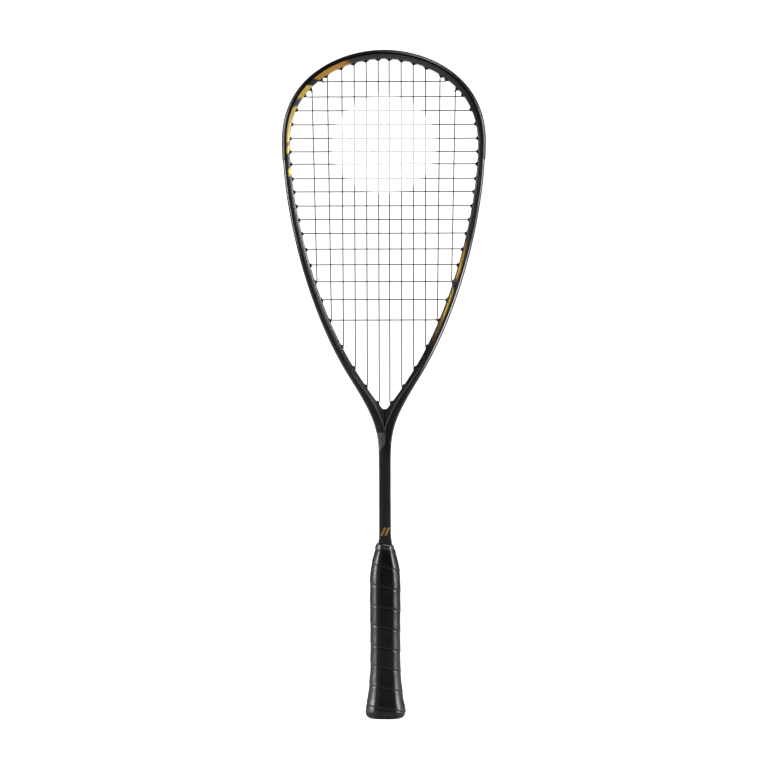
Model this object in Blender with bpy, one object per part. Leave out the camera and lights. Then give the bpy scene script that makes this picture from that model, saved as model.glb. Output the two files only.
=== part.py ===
"""Squash racket: hollow moulded frame, head guard, grommet strips, two-piece string bed and a
wrapped handle.

X runs across the face, Y through its thickness (the front faces -Y) and +Z up the racket. The
origin is the centre of the butt's bottom face. Lengths are in metres.
"""

import math

import bmesh
import bpy
import numpy as np
from mathutils import Vector

MM = 0.001

# Half outline of the frame, as cubic arcs from the top of the head down to the shaft.
HEAD_TOP = (0.0, 684.4)
HEAD_TOP_HANDLE = 43.5
HEAD_SIDE = (104.0, 591.6)
HEAD_SIDE_UP = 67.0
HEAD_SIDE_DOWN = 68.1
ARM = (36.1, 349.2)
ARM_LEAN = math.radians(32.05)
ARM_UP = 83.2
ARM_DOWN = 49.9
SHAFT_TOP = (6.15, 259.0)
SHAFT_HANDLE = 37.3
# The shaft widens a little where it enters the handle.
FLARE_TOP_Z = 189.0
FLARE_FOOT_Z = 176.0
HANDLE_SHAFT_HALF = 7.5
SHAFT_FOOT_Z = 8.0

# Distances down the outline from the top of the head, with the rail's width there.
RAIL_S = (0, 75, 140, 166, 215, 300, 395, 420, 437, 444, 450.5, 457, 463)
RAIL_WIDTH = (8.6, 9.2, 8.0, 7.4, 7.8, 8.6, 9.2, 9.5, 10.4, 11.6, 13.05, 14.5, 16.0)
# The ridge along the front of the rail, measured in from the outer edge.
RIDGE_S = (0, 380, 424, 436, 450, 460, 470, 500)
RIDGE_IN = (3.9, 3.9, 5.7, 7.0, 8.0, 8.3, 9.1, 8.5)
SHAFT_BLEND_S = (455.0, 500.0)
HALF_DEPTH = 9.5
INNER_WALL_HALF = 4.0

GROOVE_DEPTH = 3.0
GROOVE_HALF = 3.4
GROOVE_END_S = (454.5, 461.0)

# Small fillet where the two arms meet.
CROTCH_Z = 316.8
CROTCH_R = 5.0
CROTCH_EDGE_X = 3.96

# Head guard: a wrap over the top of the head, let into a recess of the frame.
GUARD_END_S = 175.0
RECESS = 0.9
RECESS_END_S = (175.3, 175.6)

STRIP_START_S = 176.0
STRIP_END_S = 453.0
STRIP_TOP = 1.9
STRIP_UNDER = 2.7
STRIP_HALF = 3.05

# Grommet tubes, one for each string end.
FRAME_HOLE_R = 1.9
TUBE_R = 1.5
TUBE_TIP_R = 1.35
TUBE_BORE_R = 1.0
TUBE_PROUD = 1.8
# Cutters start outside the rail and end past the tube's tip.
HOLE_START = -2.5
BORE_START = 1.0
PAST_TIP = 1.0
# Low on the head the strings run close along the rail, so the noses there are short.
LOW_PROUD = 1.2
LOW_PORT_S = (290.0, 304.0)
# Two holes on each side carry a main and a cross, side by side in depth.
SHARED_ROWS = (14, 16)
LANE = 0.78

# Strings: height of the woven bed, and the two tracks of the loops in the outer groove.
STRING_R = 0.62
WEAVE = 0.75
LOOP_IN = 0.9
LOOP_TRACK = 1.5
LOOP_LEAD = 3.2
LOOP_STEP = 9.0
BEND = 0.7
LOW_BEND = 0.4
KNOT_R = 1.2
# The knot's swelling, as (distance past the tube's mouth, radius).
KNOT = ((1.0, STRING_R), (1.6, KNOT_R), (2.8, KNOT_R), (3.4, STRING_R))
TAIL_IN = 1.0
# A string only weaves where it is this far from its own mouth.
MAIN_MARGIN = 2.5
CROSS_MARGIN = 1.0
MAIN_TOP_X = (5.6, 17.9, 30.3, 42.9, 57.8, 73.5)
MAIN_FOOT_X = (5.4, 17.6, 29.8, 42.0)
CROSS_Z = (
    652.7, 637.0, 622.8, 608.5, 594.3, 580.8, 568.1, 553.2, 539.7,
    525.2, 511.2, 497.1, 480.9, 464.9, 447.5, 429.1, 408.1,
)

# Handle sections as (height, half width, half depth). The grip is the outermost skin.
GRIP_OUTER = (
    (2.3, 19.2, 17.0), (3.6, 20.1, 17.8), (6.7, 20.9, 18.5), (11.8, 20.3, 18.0),
    (20.0, 18.6, 16.6), (36.0, 16.7, 15.1), (52.0, 15.6, 14.1), (85.0, 15.4, 14.0),
    (115.0, 15.7, 14.1), (143.0, 15.6, 14.1), (151.0, 15.1, 13.9), (159.5, 13.7, 13.6),
    (167.7, 11.65, 13.2), (172.2, 10.3, 12.8),
)
GRIP_INNER = (
    (2.3, 17.5, 15.3), (3.6, 18.4, 16.1), (6.7, 19.2, 16.8), (11.8, 18.6, 16.3),
    (20.0, 16.9, 14.9), (36.4, 15.1, 13.5), (38.0, 13.95, 12.45), (143.0, 13.95, 12.45),
    (151.0, 13.4, 12.2), (159.5, 12.0, 11.9), (167.7, 9.95, 11.55), (169.0, 9.2, 11.3),
    (172.2, 8.2, 10.5),
)
FOAM_OUTER = (
    (4.4, 13.6, 12.1), (142.0, 13.6, 12.1), (150.0, 13.1, 11.9), (158.5, 11.7, 11.6),
    (166.0, 10.0, 11.3), (168.0, 9.4, 11.1),
)
CAP_OUTER = (
    (0.0, 16.0, 13.9), (0.6, 17.4, 15.2), (1.4, 18.4, 16.2), (2.0, 18.6, 16.4),
    (2.0, 17.2, 15.0), (3.6, 18.1, 15.8), (6.7, 18.9, 16.5), (11.8, 18.3, 16.0),
    (20.0, 16.6, 14.6), (36.0, 14.8, 13.2),
)
CAP_FLOOR_Z = 4.0
CAP_BORE = (13.95, 12.45)
FINISH_OUTER = ((172.6, 10.3, 12.8), (176.2, 9.4, 12.0), (178.2, 8.9, 11.4))
FINISH_INNER = ((172.6, 8.2, 10.4), (178.2, 7.9, 10.1))
# Quarter outline of the handle's section, as fractions of its half width and half depth.
HANDLE_QUARTER = ((1.0, 0.42), (0.82, 0.80), (0.545, 1.0))
# Quarter outline of the bore that the shaft fills.
SHAFT_BORE = ((7.85, 5.35), (6.25, 8.65), (0.0, 10.05))

# Wound grip: one turn of tape after another, each edge pressed in.
WRAP_PITCH = 20.6
WRAP_SHIFT = 8.0
SEAM_DEPTH = 0.45
SEAM_WIDTH = 1.3
SEAM_SHARE = 0.985
WRAP_ROWS = (0.0, 0.2, 0.4, 0.6, 0.8, 1 - SEAM_WIDTH / WRAP_PITCH)

# Two staples hold the butt cap to the handle.
STAPLE_Z = 24.0
STAPLE_HALF = 4.0
STAPLE_WIRE = 0.6
STAPLE_CROWN_X = (15.3, 15.85)
STAPLE_TIP_X = 9.6
STAPLE_SLOT_X = 15.05
STAPLE_CLEAR = 0.35
STAPLE_SLOT_OUT_X = 20.0
STAPLE_LEG_OUT_X = 16.85

SMOOTH_ANGLE = math.radians(32)


def smooth(edge, value):
    t = min(max((value - edge[0]) / (edge[1] - edge[0]), 0.0), 1.0)
    return t * t * (3 - 2 * t)


def arc_points(knots, steps=400):
    a, b, c, d = (np.array(knot) for knot in knots)
    t = np.linspace(0.0, 1.0, steps)[:, None]
    return (1 - t) ** 3 * a + 3 * (1 - t) ** 2 * t * b + 3 * (1 - t) * t**2 * c + t**3 * d


def make_outline():
    """Distance, X and Z along the half outline, from the head's top to the shaft's foot."""
    down = np.array((-math.sin(ARM_LEAN), -math.cos(ARM_LEAN)))
    side = np.array(HEAD_SIDE)
    arm = np.array(ARM)
    shaft = np.array(SHAFT_TOP)
    head = arc_points((HEAD_TOP, (HEAD_TOP_HANDLE, HEAD_TOP[1]), side + (0, HEAD_SIDE_UP), side))
    flank = arc_points((side, side - (0, HEAD_SIDE_DOWN), arm - down * ARM_UP, arm))
    throat = arc_points((arm, arm + down * ARM_DOWN, shaft + (0, SHAFT_HANDLE), shaft))
    stem_z = np.linspace(SHAFT_TOP[1], SHAFT_FOOT_Z, 200)[1:]
    widen = np.array([smooth((FLARE_TOP_Z, FLARE_FOOT_Z), z) for z in stem_z])
    stem_x = SHAFT_TOP[0] + (HANDLE_SHAFT_HALF - SHAFT_TOP[0]) * widen
    stem = np.column_stack([stem_x, stem_z])
    points = np.vstack([head, flank[1:], throat[1:], stem])
    steps = np.linalg.norm(np.diff(points, axis=0), axis=1)
    return np.concatenate([[0.0], np.cumsum(steps)]), points[:, 0], points[:, 1]


OUT_S, OUT_X, OUT_Z = make_outline()
STEM_S = float(np.interp(-SHAFT_TOP[1], -OUT_Z, OUT_S))
FOOT_S = float(OUT_S[-1])


def rail_width(s):
    return float(np.interp(abs(s), RAIL_S, RAIL_WIDTH))


def outline_at(s):
    """Point and inward normal of the right half outline."""
    x = float(np.interp(s, OUT_S, OUT_X))
    z = float(np.interp(s, OUT_S, OUT_Z))
    if s >= STEM_S:
        return x, z, -1.0, 0.0
    step = 1.0
    s0 = max(s - step, 0.0)
    s1 = min(s + step, FOOT_S)
    dx = float(np.interp(s1, OUT_S, OUT_X) - np.interp(s0, OUT_S, OUT_X))
    dz = float(np.interp(s1, OUT_S, OUT_Z) - np.interp(s0, OUT_S, OUT_Z))
    if s < step:
        dz = 0.0
    size = math.hypot(dx, dz)
    return x, z, dz / size, -dx / size


def rail(s, inward, y):
    """A point of the rail. Negative s is the left half."""
    x, z, nx, nz = outline_at(abs(s))
    side = -1.0 if s < 0 else 1.0
    return Vector((side * (x + inward * nx), y, z + inward * nz)) * MM


def lift_crotch(x, z):
    """Raise the inner wall onto the fillet where the arms meet."""
    if x >= CROTCH_EDGE_X:
        return z
    reach = min(abs(x), CROTCH_EDGE_X)
    floor = CROTCH_Z + CROTCH_R - math.sqrt(CROTCH_R**2 - reach**2)
    fade = min(max(1 + x / CROTCH_EDGE_X, 0.0), 1.0)
    return z + fade * max(floor - z, 0.0)


def mix(a, b, t):
    return tuple((p[0] + (q[0] - p[0]) * t, p[1] + (q[1] - p[1]) * t) for p, q in zip(a, b))


def rail_sections(s):
    """Half profiles (inward, depth) of the rail's skin and of its cavity, from the groove in."""
    width = rail_width(s)
    ridge = float(np.interp(s, RIDGE_S, RIDGE_IN))
    groove = GROOVE_DEPTH * (1 - smooth(GROOVE_END_S, s))
    recess = RECESS * (1 - smooth(RECESS_END_S, s))
    share = recess / RECESS
    skin = (
        (max(groove, recess), GROOVE_HALF),
        (recess, GROOVE_HALF + 0.2),
        (recess, 4.6),
        (1.2 + 1.1 * share, 7.8 - 0.7 * share),
        (ridge, HALF_DEPTH),
        (width - 0.5, INNER_WALL_HALF + 1.2),
        (width, INNER_WALL_HALF),
    )
    stem_skin = (
        (0.0, 1.3), (0.0, 2.8), (0.0, 5.2), (1.5, 8.3), (8.5, 9.9), (14.0, 9.0), (17.0, 4.0),
    )
    cavity = ((4.2, 3.9), (2.7, 5.2), (ridge, 7.8), (width - 1.2, 4.3))
    stem_cavity = ((1.2, 2.4), (1.2, 5.0), (3.0, 7.8), (15.0, 8.6))
    blend = smooth(SHAFT_BLEND_S, s)
    return mix(skin, stem_skin, blend), mix(cavity, stem_cavity, blend)


def spread(start, end, count):
    return [start + (end - start) * k / count for k in range(count)]


HEAD_STATIONS = spread(0.0, GUARD_END_S, 15) + [GUARD_END_S]
FLANK_STATIONS = [STRIP_START_S] + spread(190.0, 406.0, 13) + spread(406.0, 430.0, 3)
THROAT_STATIONS = spread(430.0, 446.0, 3) + spread(446.0, 474.0, 8) + spread(474.0, STEM_S, 4)


def stem_stations():
    heights = [SHAFT_TOP[1], FLARE_TOP_Z, 185.5, 182.5, 179.5, FLARE_FOOT_Z, SHAFT_FOOT_Z]
    return [STEM_S + SHAFT_TOP[1] - z for z in heights]


def both_depths(half):
    return [(n, -y) for n, y in reversed(half)] + list(half)


def loft(bm, rings, closed=True):
    """Quads between rings of equal length."""
    for low, high in zip(rings, rings[1:]):
        count = len(low)
        for k in range(count if closed else count - 1):
            j = (k + 1) % count
            bm.faces.new((low[k], low[j], high[j], high[k]))


def ring_of(bm, points):
    return [bm.verts.new(point) for point in points]


def fill_between(bm, *rings):
    """Flat cap bounded by one or more rings."""
    edges = []
    for ring in rings:
        for a, b in zip(ring, ring[1:] + ring[:1]):
            edges.append(bm.edges.get((a, b)) or bm.edges.new((a, b)))
    bmesh.ops.triangle_fill(bm, use_beauty=True, use_dissolve=False, edges=edges)


def mirror_half(bm):
    """Keep X >= 0, then add its mirror image and weld the two on the centre plane."""
    geom = bm.verts[:] + bm.edges[:] + bm.faces[:]
    bmesh.ops.bisect_plane(
        bm, geom=geom, dist=1e-6, plane_co=(0, 0, 0), plane_no=(1, 0, 0), clear_inner=True
    )
    for vert in bm.verts:
        if abs(vert.co.x) < 2e-6:
            vert.co.x = 0.0
    copy = bmesh.ops.duplicate(bm, geom=bm.verts[:] + bm.edges[:] + bm.faces[:])["geom"]
    for item in copy:
        if isinstance(item, bmesh.types.BMVert):
            item.co.x = -item.co.x
    flipped = [item for item in copy if isinstance(item, bmesh.types.BMFace)]
    bmesh.ops.reverse_faces(bm, faces=flipped)
    bmesh.ops.remove_doubles(bm, verts=bm.verts[:], dist=4e-6)


def make_material(name, colour, roughness, metallic=0.0):
    material = bpy.data.materials.new(name)
    material.use_nodes = True
    shader = material.node_tree.nodes["Principled BSDF"]
    shader.inputs["Base Color"].default_value = (*colour, 1.0)
    shader.inputs["Roughness"].default_value = roughness
    shader.inputs["Metallic"].default_value = metallic
    material.diffuse_color = (*colour, 1.0)
    return material


def make_object(name, bm, material=None):
    bmesh.ops.recalc_face_normals(bm, faces=bm.faces[:])
    mesh = bpy.data.meshes.new(name)
    bm.to_mesh(mesh)
    bm.free()
    mesh.shade_smooth()
    mesh.set_sharp_from_angle(angle=SMOOTH_ANGLE)
    obj = bpy.data.objects.new(name, mesh)
    bpy.context.scene.collection.objects.link(obj)
    if material:
        mesh.materials.append(material)
    else:
        obj.hide_render = True
        obj.display_type = "WIRE"
    return obj


def add_boolean(obj, helper, operation):
    modifier = obj.modifiers.new(operation.title() + "_" + helper.name, "BOOLEAN")
    modifier.operation = operation
    modifier.solver = "EXACT"
    modifier.object = helper


def nose_tip(s):
    """Inward distance of the tube's tip at s."""
    short = smooth(LOW_PORT_S, abs(s))
    return rail_width(s) + TUBE_PROUD + (LOW_PROUD - TUBE_PROUD) * short


def mouth(s, lane=0.0):
    """Where a string bends as it leaves its tube."""
    short = smooth(LOW_PORT_S, abs(s))
    return rail(s, nose_tip(s) + BEND + (LOW_BEND - BEND) * short, lane)


def find_port(low, high, target, coord):
    """The distance s whose string leaves the tube at the given X or Z (coord 0 or 2)."""

    def leaves(s):
        return mouth(s)[coord] / MM

    rising = leaves(high) > leaves(low)
    for _ in range(40):
        middle = (low + high) / 2
        if (leaves(middle) < target) == rising:
            low = middle
        else:
            high = middle
    return low


TOP_PORTS = [find_port(0.0, 130.0, x, 0) for x in MAIN_TOP_X]
CROSS_PORTS = [find_port(40.0, 430.0, z, 2) for z in CROSS_Z]
SHARED_PORTS = [CROSS_PORTS[row] for row in SHARED_ROWS]
OWN_FOOT_PORTS = [find_port(250.0, 457.0, x, 0) for x in MAIN_FOOT_X]
FOOT_PORTS = OWN_FOOT_PORTS + SHARED_PORTS[::-1]
ALL_PORTS = sorted(TOP_PORTS + OWN_FOOT_PORTS + CROSS_PORTS)


def lane_of(s):
    """How far a string stands off its hole's axis in depth."""
    return LANE if abs(s) in SHARED_PORTS else 0.0


def tubes(bm, ports, start, end_extra, radius, tip_radius=None, sides=6):
    """Closed prisms through the rail at the given ports, pointing inward."""
    for s in ports:
        end = nose_tip(s) + end_extra
        stretch = lane_of(s)
        rings = []
        axis = (rail(s, 1.0, 0.0) - rail(s, 0.0, 0.0)).normalized()
        across = Vector((0, 1, 0)).cross(axis)
        for inward, r in ((start, radius), (end, tip_radius or radius)):
            centre = rail(s, inward, 0.0)
            ring = []
            for k in range(sides):
                turn = math.tau * k / sides
                offset = Vector((0, r + stretch, 0)) * math.cos(turn) + across * r * math.sin(turn)
                ring.append(centre + offset * MM)
            rings.append(ring_of(bm, ring))
        loft(bm, rings)
        bm.faces.new(rings[0])
        bm.faces.new(rings[1])


def make_frame(material):
    bm = bmesh.new()
    stations = (
        HEAD_STATIONS + list(RECESS_END_S) + FLANK_STATIONS + THROAT_STATIONS + stem_stations()
    )
    skins = []
    cavities = []
    for s in stations:
        x, z, nx, nz = outline_at(s)
        for half, rings in zip(rail_sections(s), (skins, cavities)):
            ring = []
            for inward, y in both_depths(half):
                px = x + inward * nx
                pz = z + inward * nz
                if rings is skins and abs(y) < HALF_DEPTH - 3 and inward > rail_width(s) - 1:
                    pz = lift_crotch(px, pz)
                ring.append(Vector((px, y, pz)) * MM)
            rings.append(ring_of(bm, ring))
    loft(bm, skins)
    loft(bm, cavities)
    fill_between(bm, skins[-1], cavities[-1])
    mirror_half(bm)
    frame = make_object("frame", bm, material)
    holes = bmesh.new()
    both = ALL_PORTS + [-s for s in ALL_PORTS]
    tubes(holes, both, HOLE_START, PAST_TIP, FRAME_HOLE_R)
    add_boolean(frame, make_object("frame_hole_cutter", holes), "DIFFERENCE")
    return frame


def add_tubes(obj, ports):
    solid = bmesh.new()
    tubes(solid, ports, (STRIP_TOP + STRIP_UNDER) / 2, 0.0, TUBE_R, TUBE_TIP_R)
    add_boolean(obj, make_object(obj.name + "_tubes", solid), "UNION")
    bores = bmesh.new()
    tubes(bores, ports, BORE_START, PAST_TIP, TUBE_BORE_R)
    add_boolean(obj, make_object(obj.name + "_bores", bores), "DIFFERENCE")


def make_head_guard(material):
    half = (
        (STRIP_TOP, 2.3), (-0.6, 2.5), (-0.6, 4.6), (0.7, 8.0), (3.0, 9.5),
        (2.9, 9.0), (1.85, 7.4), (0.55, 4.75), (0.55, 3.1), (STRIP_UNDER, STRIP_HALF),
    )
    profile = list(half) + [(n, -y) for n, y in reversed(half)]
    bm = bmesh.new()
    stations = [-s for s in reversed(HEAD_STATIONS[1:])] + HEAD_STATIONS
    rings = [ring_of(bm, [rail(s, n, y) for n, y in profile]) for s in stations]
    loft(bm, rings)
    fill_between(bm, rings[0])
    fill_between(bm, rings[-1])
    guard = make_object("head_guard", bm, material)
    ports = [s for s in ALL_PORTS if s < GUARD_END_S]
    add_tubes(guard, ports + [-s for s in ports])
    return guard


def make_grommet_strip(name, side, material):
    profile = (
        (STRIP_TOP, -STRIP_HALF), (STRIP_TOP, STRIP_HALF),
        (STRIP_UNDER, STRIP_HALF), (STRIP_UNDER, -STRIP_HALF),
    )
    bm = bmesh.new()
    stations = FLANK_STATIONS + [s for s in THROAT_STATIONS if s < STRIP_END_S] + [STRIP_END_S]
    rings = [ring_of(bm, [rail(side * s, n, y) for n, y in profile]) for s in stations]
    loft(bm, rings)
    bm.faces.new(rings[0])
    bm.faces.new(rings[-1])
    strip = make_object(name, bm, material)
    add_tubes(strip, [side * s for s in ALL_PORTS if s > GUARD_END_S])
    return strip


def strand(name, path, material):
    """A closed four-sided cord along (point, radius) pairs."""
    bm = bmesh.new()
    rings = []
    depth = Vector((0, 1, 0))
    for k, (point, radius) in enumerate(path):
        before = path[max(k - 1, 0)][0]
        after = path[min(k + 1, len(path) - 1)][0]
        along = Vector((0, 0, 0))
        for leg in (point - before, after - point):
            if leg.length > 0:
                along += leg.normalized()
        along.normalize()
        front = (depth - along * depth.dot(along)).normalized()
        across = along.cross(front)
        ring = [point + arm * radius * MM for arm in (front, across, -front, -across)]
        rings.append(ring_of(bm, ring))
    loft(bm, rings)
    bm.faces.new(rings[0])
    bm.faces.new(rings[-1])
    return make_object(name, bm, material)


def port_inward(s, side):
    """From the outer groove through the tube to just past its mouth."""
    lane = side * lane_of(s)
    return [(rail(s, LOOP_IN, lane), STRING_R), (mouth(s, lane), STRING_R)]


def tie_off(s, toward, side):
    """A string end held in its tube, with the knot just inside the head."""
    lane = side * lane_of(s)
    tail = rail(s, rail_width(s) - TAIL_IN, lane)
    start = mouth(s, lane)
    along = (toward - start).normalized() * MM
    return [(tail, STRING_R), (start, STRING_R)] + [(start + along * d, r) for d, r in KNOT]


def loop(s_from, s_to, track):
    """Run along the outer groove between two tubes."""
    step = LOOP_LEAD if s_to > s_from else -LOOP_LEAD
    begin = s_from + step
    end = s_to - step
    count = max(1, math.ceil(abs(end - begin) / LOOP_STEP))
    stops = [begin + (end - begin) * k / count for k in range(count + 1)]
    return [(rail(s, LOOP_IN, track), STRING_R) for s in stops]


def crossing_y(main, cross):
    return WEAVE if (main + cross) % 2 == 0 else -WEAVE


MAINS = []
for column in range(6):
    for side in (-1, 1):
        MAINS.append((side * TOP_PORTS[column], side * FOOT_PORTS[column]))
MAINS.sort(key=lambda ports: mouth(ports[0]).x)


def main_bed(index):
    """Weave points of one main string, from its top mouth to its foot."""
    top = mouth(MAINS[index][0])
    foot = mouth(MAINS[index][1])
    margin = MAIN_MARGIN * MM
    points = []
    for row, z in enumerate(CROSS_Z):
        share = (top.z - z * MM) / (top.z - foot.z)
        x = top.x + (foot.x - top.x) * share
        if foot.z + margin < z * MM < top.z - margin:
            points.append((Vector((x, crossing_y(index, row) * MM, z * MM)), STRING_R))
    return points


def cross_bed(row):
    """Weave points of one cross string, from left to right."""
    reach = mouth(CROSS_PORTS[row]).x - CROSS_MARGIN * MM
    points = []
    for index in range(len(MAINS)):
        for point, radius in main_bed(index):
            if abs(point.z - CROSS_Z[row] * MM) < 1e-6 and abs(point.x) < reach:
                points.append((Vector((point.x, -point.y, point.z)), radius))
    return points


def make_main_string(material):
    path = []
    last = len(MAINS) - 1
    for index, (top, foot) in enumerate(MAINS):
        downward = index % 2 == 0
        bed = main_bed(index)
        start, end = (top, foot) if downward else (foot, top)
        run = bed if downward else bed[::-1]
        if index == 0:
            path += tie_off(start, mouth(end), 1)
        else:
            path += port_inward(start, 1)
        path += run
        if index == last:
            path += tie_off(end, mouth(start), 1)[::-1]
        else:
            path += port_inward(end, 1)[::-1]
            beyond = MAINS[index + 1][0 if not downward else 1]
            path += loop(end, beyond, LOOP_TRACK)
    return strand("main_string", path, material)


def make_cross_string(material):
    path = []
    last = len(CROSS_Z) - 1
    for row, port in enumerate(CROSS_PORTS):
        rightward = row % 2 == 0
        bed = cross_bed(row)
        start, end = (-port, port) if rightward else (port, -port)
        if row == 0:
            path += tie_off(start, mouth(end), -1)
        else:
            path += port_inward(start, -1)
        path += bed if rightward else bed[::-1]
        if row == last:
            path += tie_off(end, mouth(start), -1)[::-1]
        else:
            path += port_inward(end, -1)[::-1]
            beyond = CROSS_PORTS[row + 1] * (1 if rightward else -1)
            path += loop(end, beyond, -LOOP_TRACK)
    return strand("cross_string", path, material)


def around(quarter):
    """The whole section from its quarter, anticlockwise seen from above."""
    first = list(quarter)
    second = [(-x, y) for x, y in reversed(first) if x > 0]
    upper = first + second
    return upper + [(-x, -y) for x, y in upper]


HANDLE_ROUND = around(HANDLE_QUARTER)


def handle_ring(bm, z, half_x, half_y):
    return ring_of(bm, [Vector((x * half_x, y * half_y, z)) * MM for x, y in HANDLE_ROUND])


def sleeve(outer, inner):
    """Closed tube between an outer and an inner stack of handle sections."""
    bm = bmesh.new()
    skin = [handle_ring(bm, *level) for level in outer]
    bore = [handle_ring(bm, *level) for level in inner]
    loft(bm, skin)
    loft(bm, bore)
    loft(bm, [skin[0], bore[0]])
    loft(bm, [skin[-1], bore[-1]])
    return bm


def leg_boxes(bm, clear):
    """The two legs of each staple, grown by the given clearance."""
    half = STAPLE_WIRE / 2 + clear
    for side in (-1, 1):
        for y in (-STAPLE_HALF, STAPLE_HALF):
            tip = STAPLE_TIP_X - clear
            add_box(bm, side, (tip, STAPLE_LEG_OUT_X), (y - half, y + half), half)


def add_box(bm, side, span_x, span_y, half_z):
    rings = []
    for x in span_x:
        corners = ((span_y[0], -half_z), (span_y[1], -half_z), (span_y[1], half_z), (span_y[0], half_z))
        rings.append(ring_of(bm, [Vector((side * x, y, STAPLE_Z + dz)) * MM for y, dz in corners]))
    loft(bm, rings)
    bm.faces.new(rings[0])
    bm.faces.new(rings[1])


def make_staple(name, side, material):
    """One U-shaped wire, swept through its own thickness."""
    half = STAPLE_WIRE / 2
    outer = STAPLE_HALF + half
    inner = STAPLE_HALF - half
    crown_in, crown_out = STAPLE_CROWN_X
    tip = STAPLE_TIP_X
    shape = (
        (tip, -outer), (crown_out, -outer), (crown_out, outer), (tip, outer),
        (tip, inner), (crown_in, inner), (crown_in, -inner), (tip, -inner),
    )
    bm = bmesh.new()
    rings = []
    for dz in (-half, half):
        rings.append(ring_of(bm, [Vector((side * x, y, STAPLE_Z + dz)) * MM for x, y in shape]))
    loft(bm, rings)
    bm.faces.new(rings[0])
    bm.faces.new(rings[1])
    return make_object(name, bm, material)


def make_butt_cap(material, leg_cutter):
    bm = bmesh.new()
    skin = [handle_ring(bm, *level) for level in CAP_OUTER]
    bore = [handle_ring(bm, z, *CAP_BORE) for z in (CAP_FLOOR_Z, CAP_OUTER[-1][0])]
    loft(bm, skin)
    loft(bm, bore)
    loft(bm, [skin[-1], bore[-1]])
    bm.faces.new(skin[0])
    bm.faces.new(bore[0])
    cap = make_object("butt_cap", bm, material)
    slots = bmesh.new()
    half_z = STAPLE_WIRE / 2 + STAPLE_CLEAR
    reach = STAPLE_HALF + half_z
    for side in (-1, 1):
        add_box(slots, side, (STAPLE_SLOT_X, STAPLE_SLOT_OUT_X), (-reach, reach), half_z)
    add_boolean(cap, make_object("staple_slot_cutter", slots), "DIFFERENCE")
    add_boolean(cap, leg_cutter, "DIFFERENCE")
    return cap


def make_handle_foam(material, leg_cutter):
    bm = bmesh.new()
    skin = [handle_ring(bm, *level) for level in FOAM_OUTER]
    hole = around(SHAFT_BORE)
    bore = [
        ring_of(bm, [Vector((x, y, z)) * MM for x, y in hole])
        for z in (FOAM_OUTER[0][0], FOAM_OUTER[-1][0])
    ]
    loft(bm, skin)
    loft(bm, bore)
    fill_between(bm, skin[0], bore[0])
    fill_between(bm, skin[-1], bore[-1])
    foam = make_object("handle_foam", bm, material)
    add_boolean(foam, leg_cutter, "DIFFERENCE")
    return foam


def grip_half_sizes(z):
    heights = [level[0] for level in GRIP_OUTER]
    half_x = float(np.interp(z, heights, [level[1] for level in GRIP_OUTER]))
    half_y = float(np.interp(z, heights, [level[2] for level in GRIP_OUTER]))
    return half_x, half_y


def make_grip(material):
    """Spiral outer skin, cut level at both ends and closed by the sleeve's plain inside."""
    bm = bmesh.new()
    count = len(HANDLE_ROUND)
    low = GRIP_OUTER[0][0]
    high = GRIP_OUTER[-1][0]
    across = [(share, 0.0) for share in WRAP_ROWS] + [(SEAM_SHARE, 1.0)]
    turns = math.ceil((high - low) / WRAP_PITCH) + 3
    columns = []
    for step in range(turns * count + 1):
        turn = step / count
        x, y = HANDLE_ROUND[step % count]
        start = low - 1.5 * WRAP_PITCH + WRAP_SHIFT + turn * WRAP_PITCH
        column = []
        for share, sunk in across:
            z = start + share * WRAP_PITCH
            half_x, half_y = grip_half_sizes(z)
            inset = SEAM_DEPTH * sunk
            column.append(bm.verts.new(
                Vector((-x * (half_x - inset), y * (half_y - inset), z)) * MM
            ))
        columns.append(column)
    for step, column in enumerate(columns[:-1]):
        beside = columns[step + 1]
        for a in range(len(across) - 1):
            bm.faces.new((column[a], beside[a], beside[a + 1], column[a + 1]))
        if step + count + 1 < len(columns):
            above = columns[step + count]
            next_above = columns[step + count + 1]
            bm.faces.new((column[-1], beside[-1], next_above[0], above[0]))
    for level, normal in ((low, -1), (high, 1)):
        geom = bm.verts[:] + bm.edges[:] + bm.faces[:]
        bmesh.ops.bisect_plane(
            bm, geom=geom, dist=1e-7, plane_co=(0, 0, level * MM), plane_no=(0, 0, normal),
            clear_outer=True,
        )
    bmesh.ops.remove_doubles(bm, verts=bm.verts[:], dist=2e-5)
    inner = [handle_ring(bm, *level) for level in GRIP_INNER]
    loft(bm, inner)
    for level, ring in ((low, inner[0]), (high, inner[-1])):
        edges = [edge for edge in bm.edges if edge.is_boundary
                 and all(abs(vert.co.z - level * MM) < 1e-6 for vert in edge.verts)]
        bmesh.ops.triangle_fill(bm, use_beauty=True, use_dissolve=False, edges=edges)
    return make_object("grip_tape", bm, material)


for item in list(bpy.data.objects):
    bpy.data.objects.remove(item)

CARBON = make_material("satin_black_carbon", (0.018, 0.018, 0.02), 0.38)
GUARD = make_material("black_nylon", (0.012, 0.012, 0.013), 0.5)
STRING = make_material("dark_string", (0.03, 0.03, 0.033), 0.35)
FOAM = make_material("grey_foam", (0.25, 0.25, 0.26), 0.85)
CAP = make_material("black_cap_plastic", (0.015, 0.015, 0.016), 0.5)
STEEL = make_material("staple_steel", (0.55, 0.55, 0.57), 0.35, 1.0)
GRIP = make_material("black_polyurethane", (0.014, 0.014, 0.015), 0.48)
FINISH = make_material("gloss_black_tape", (0.01, 0.01, 0.011), 0.15)

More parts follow.
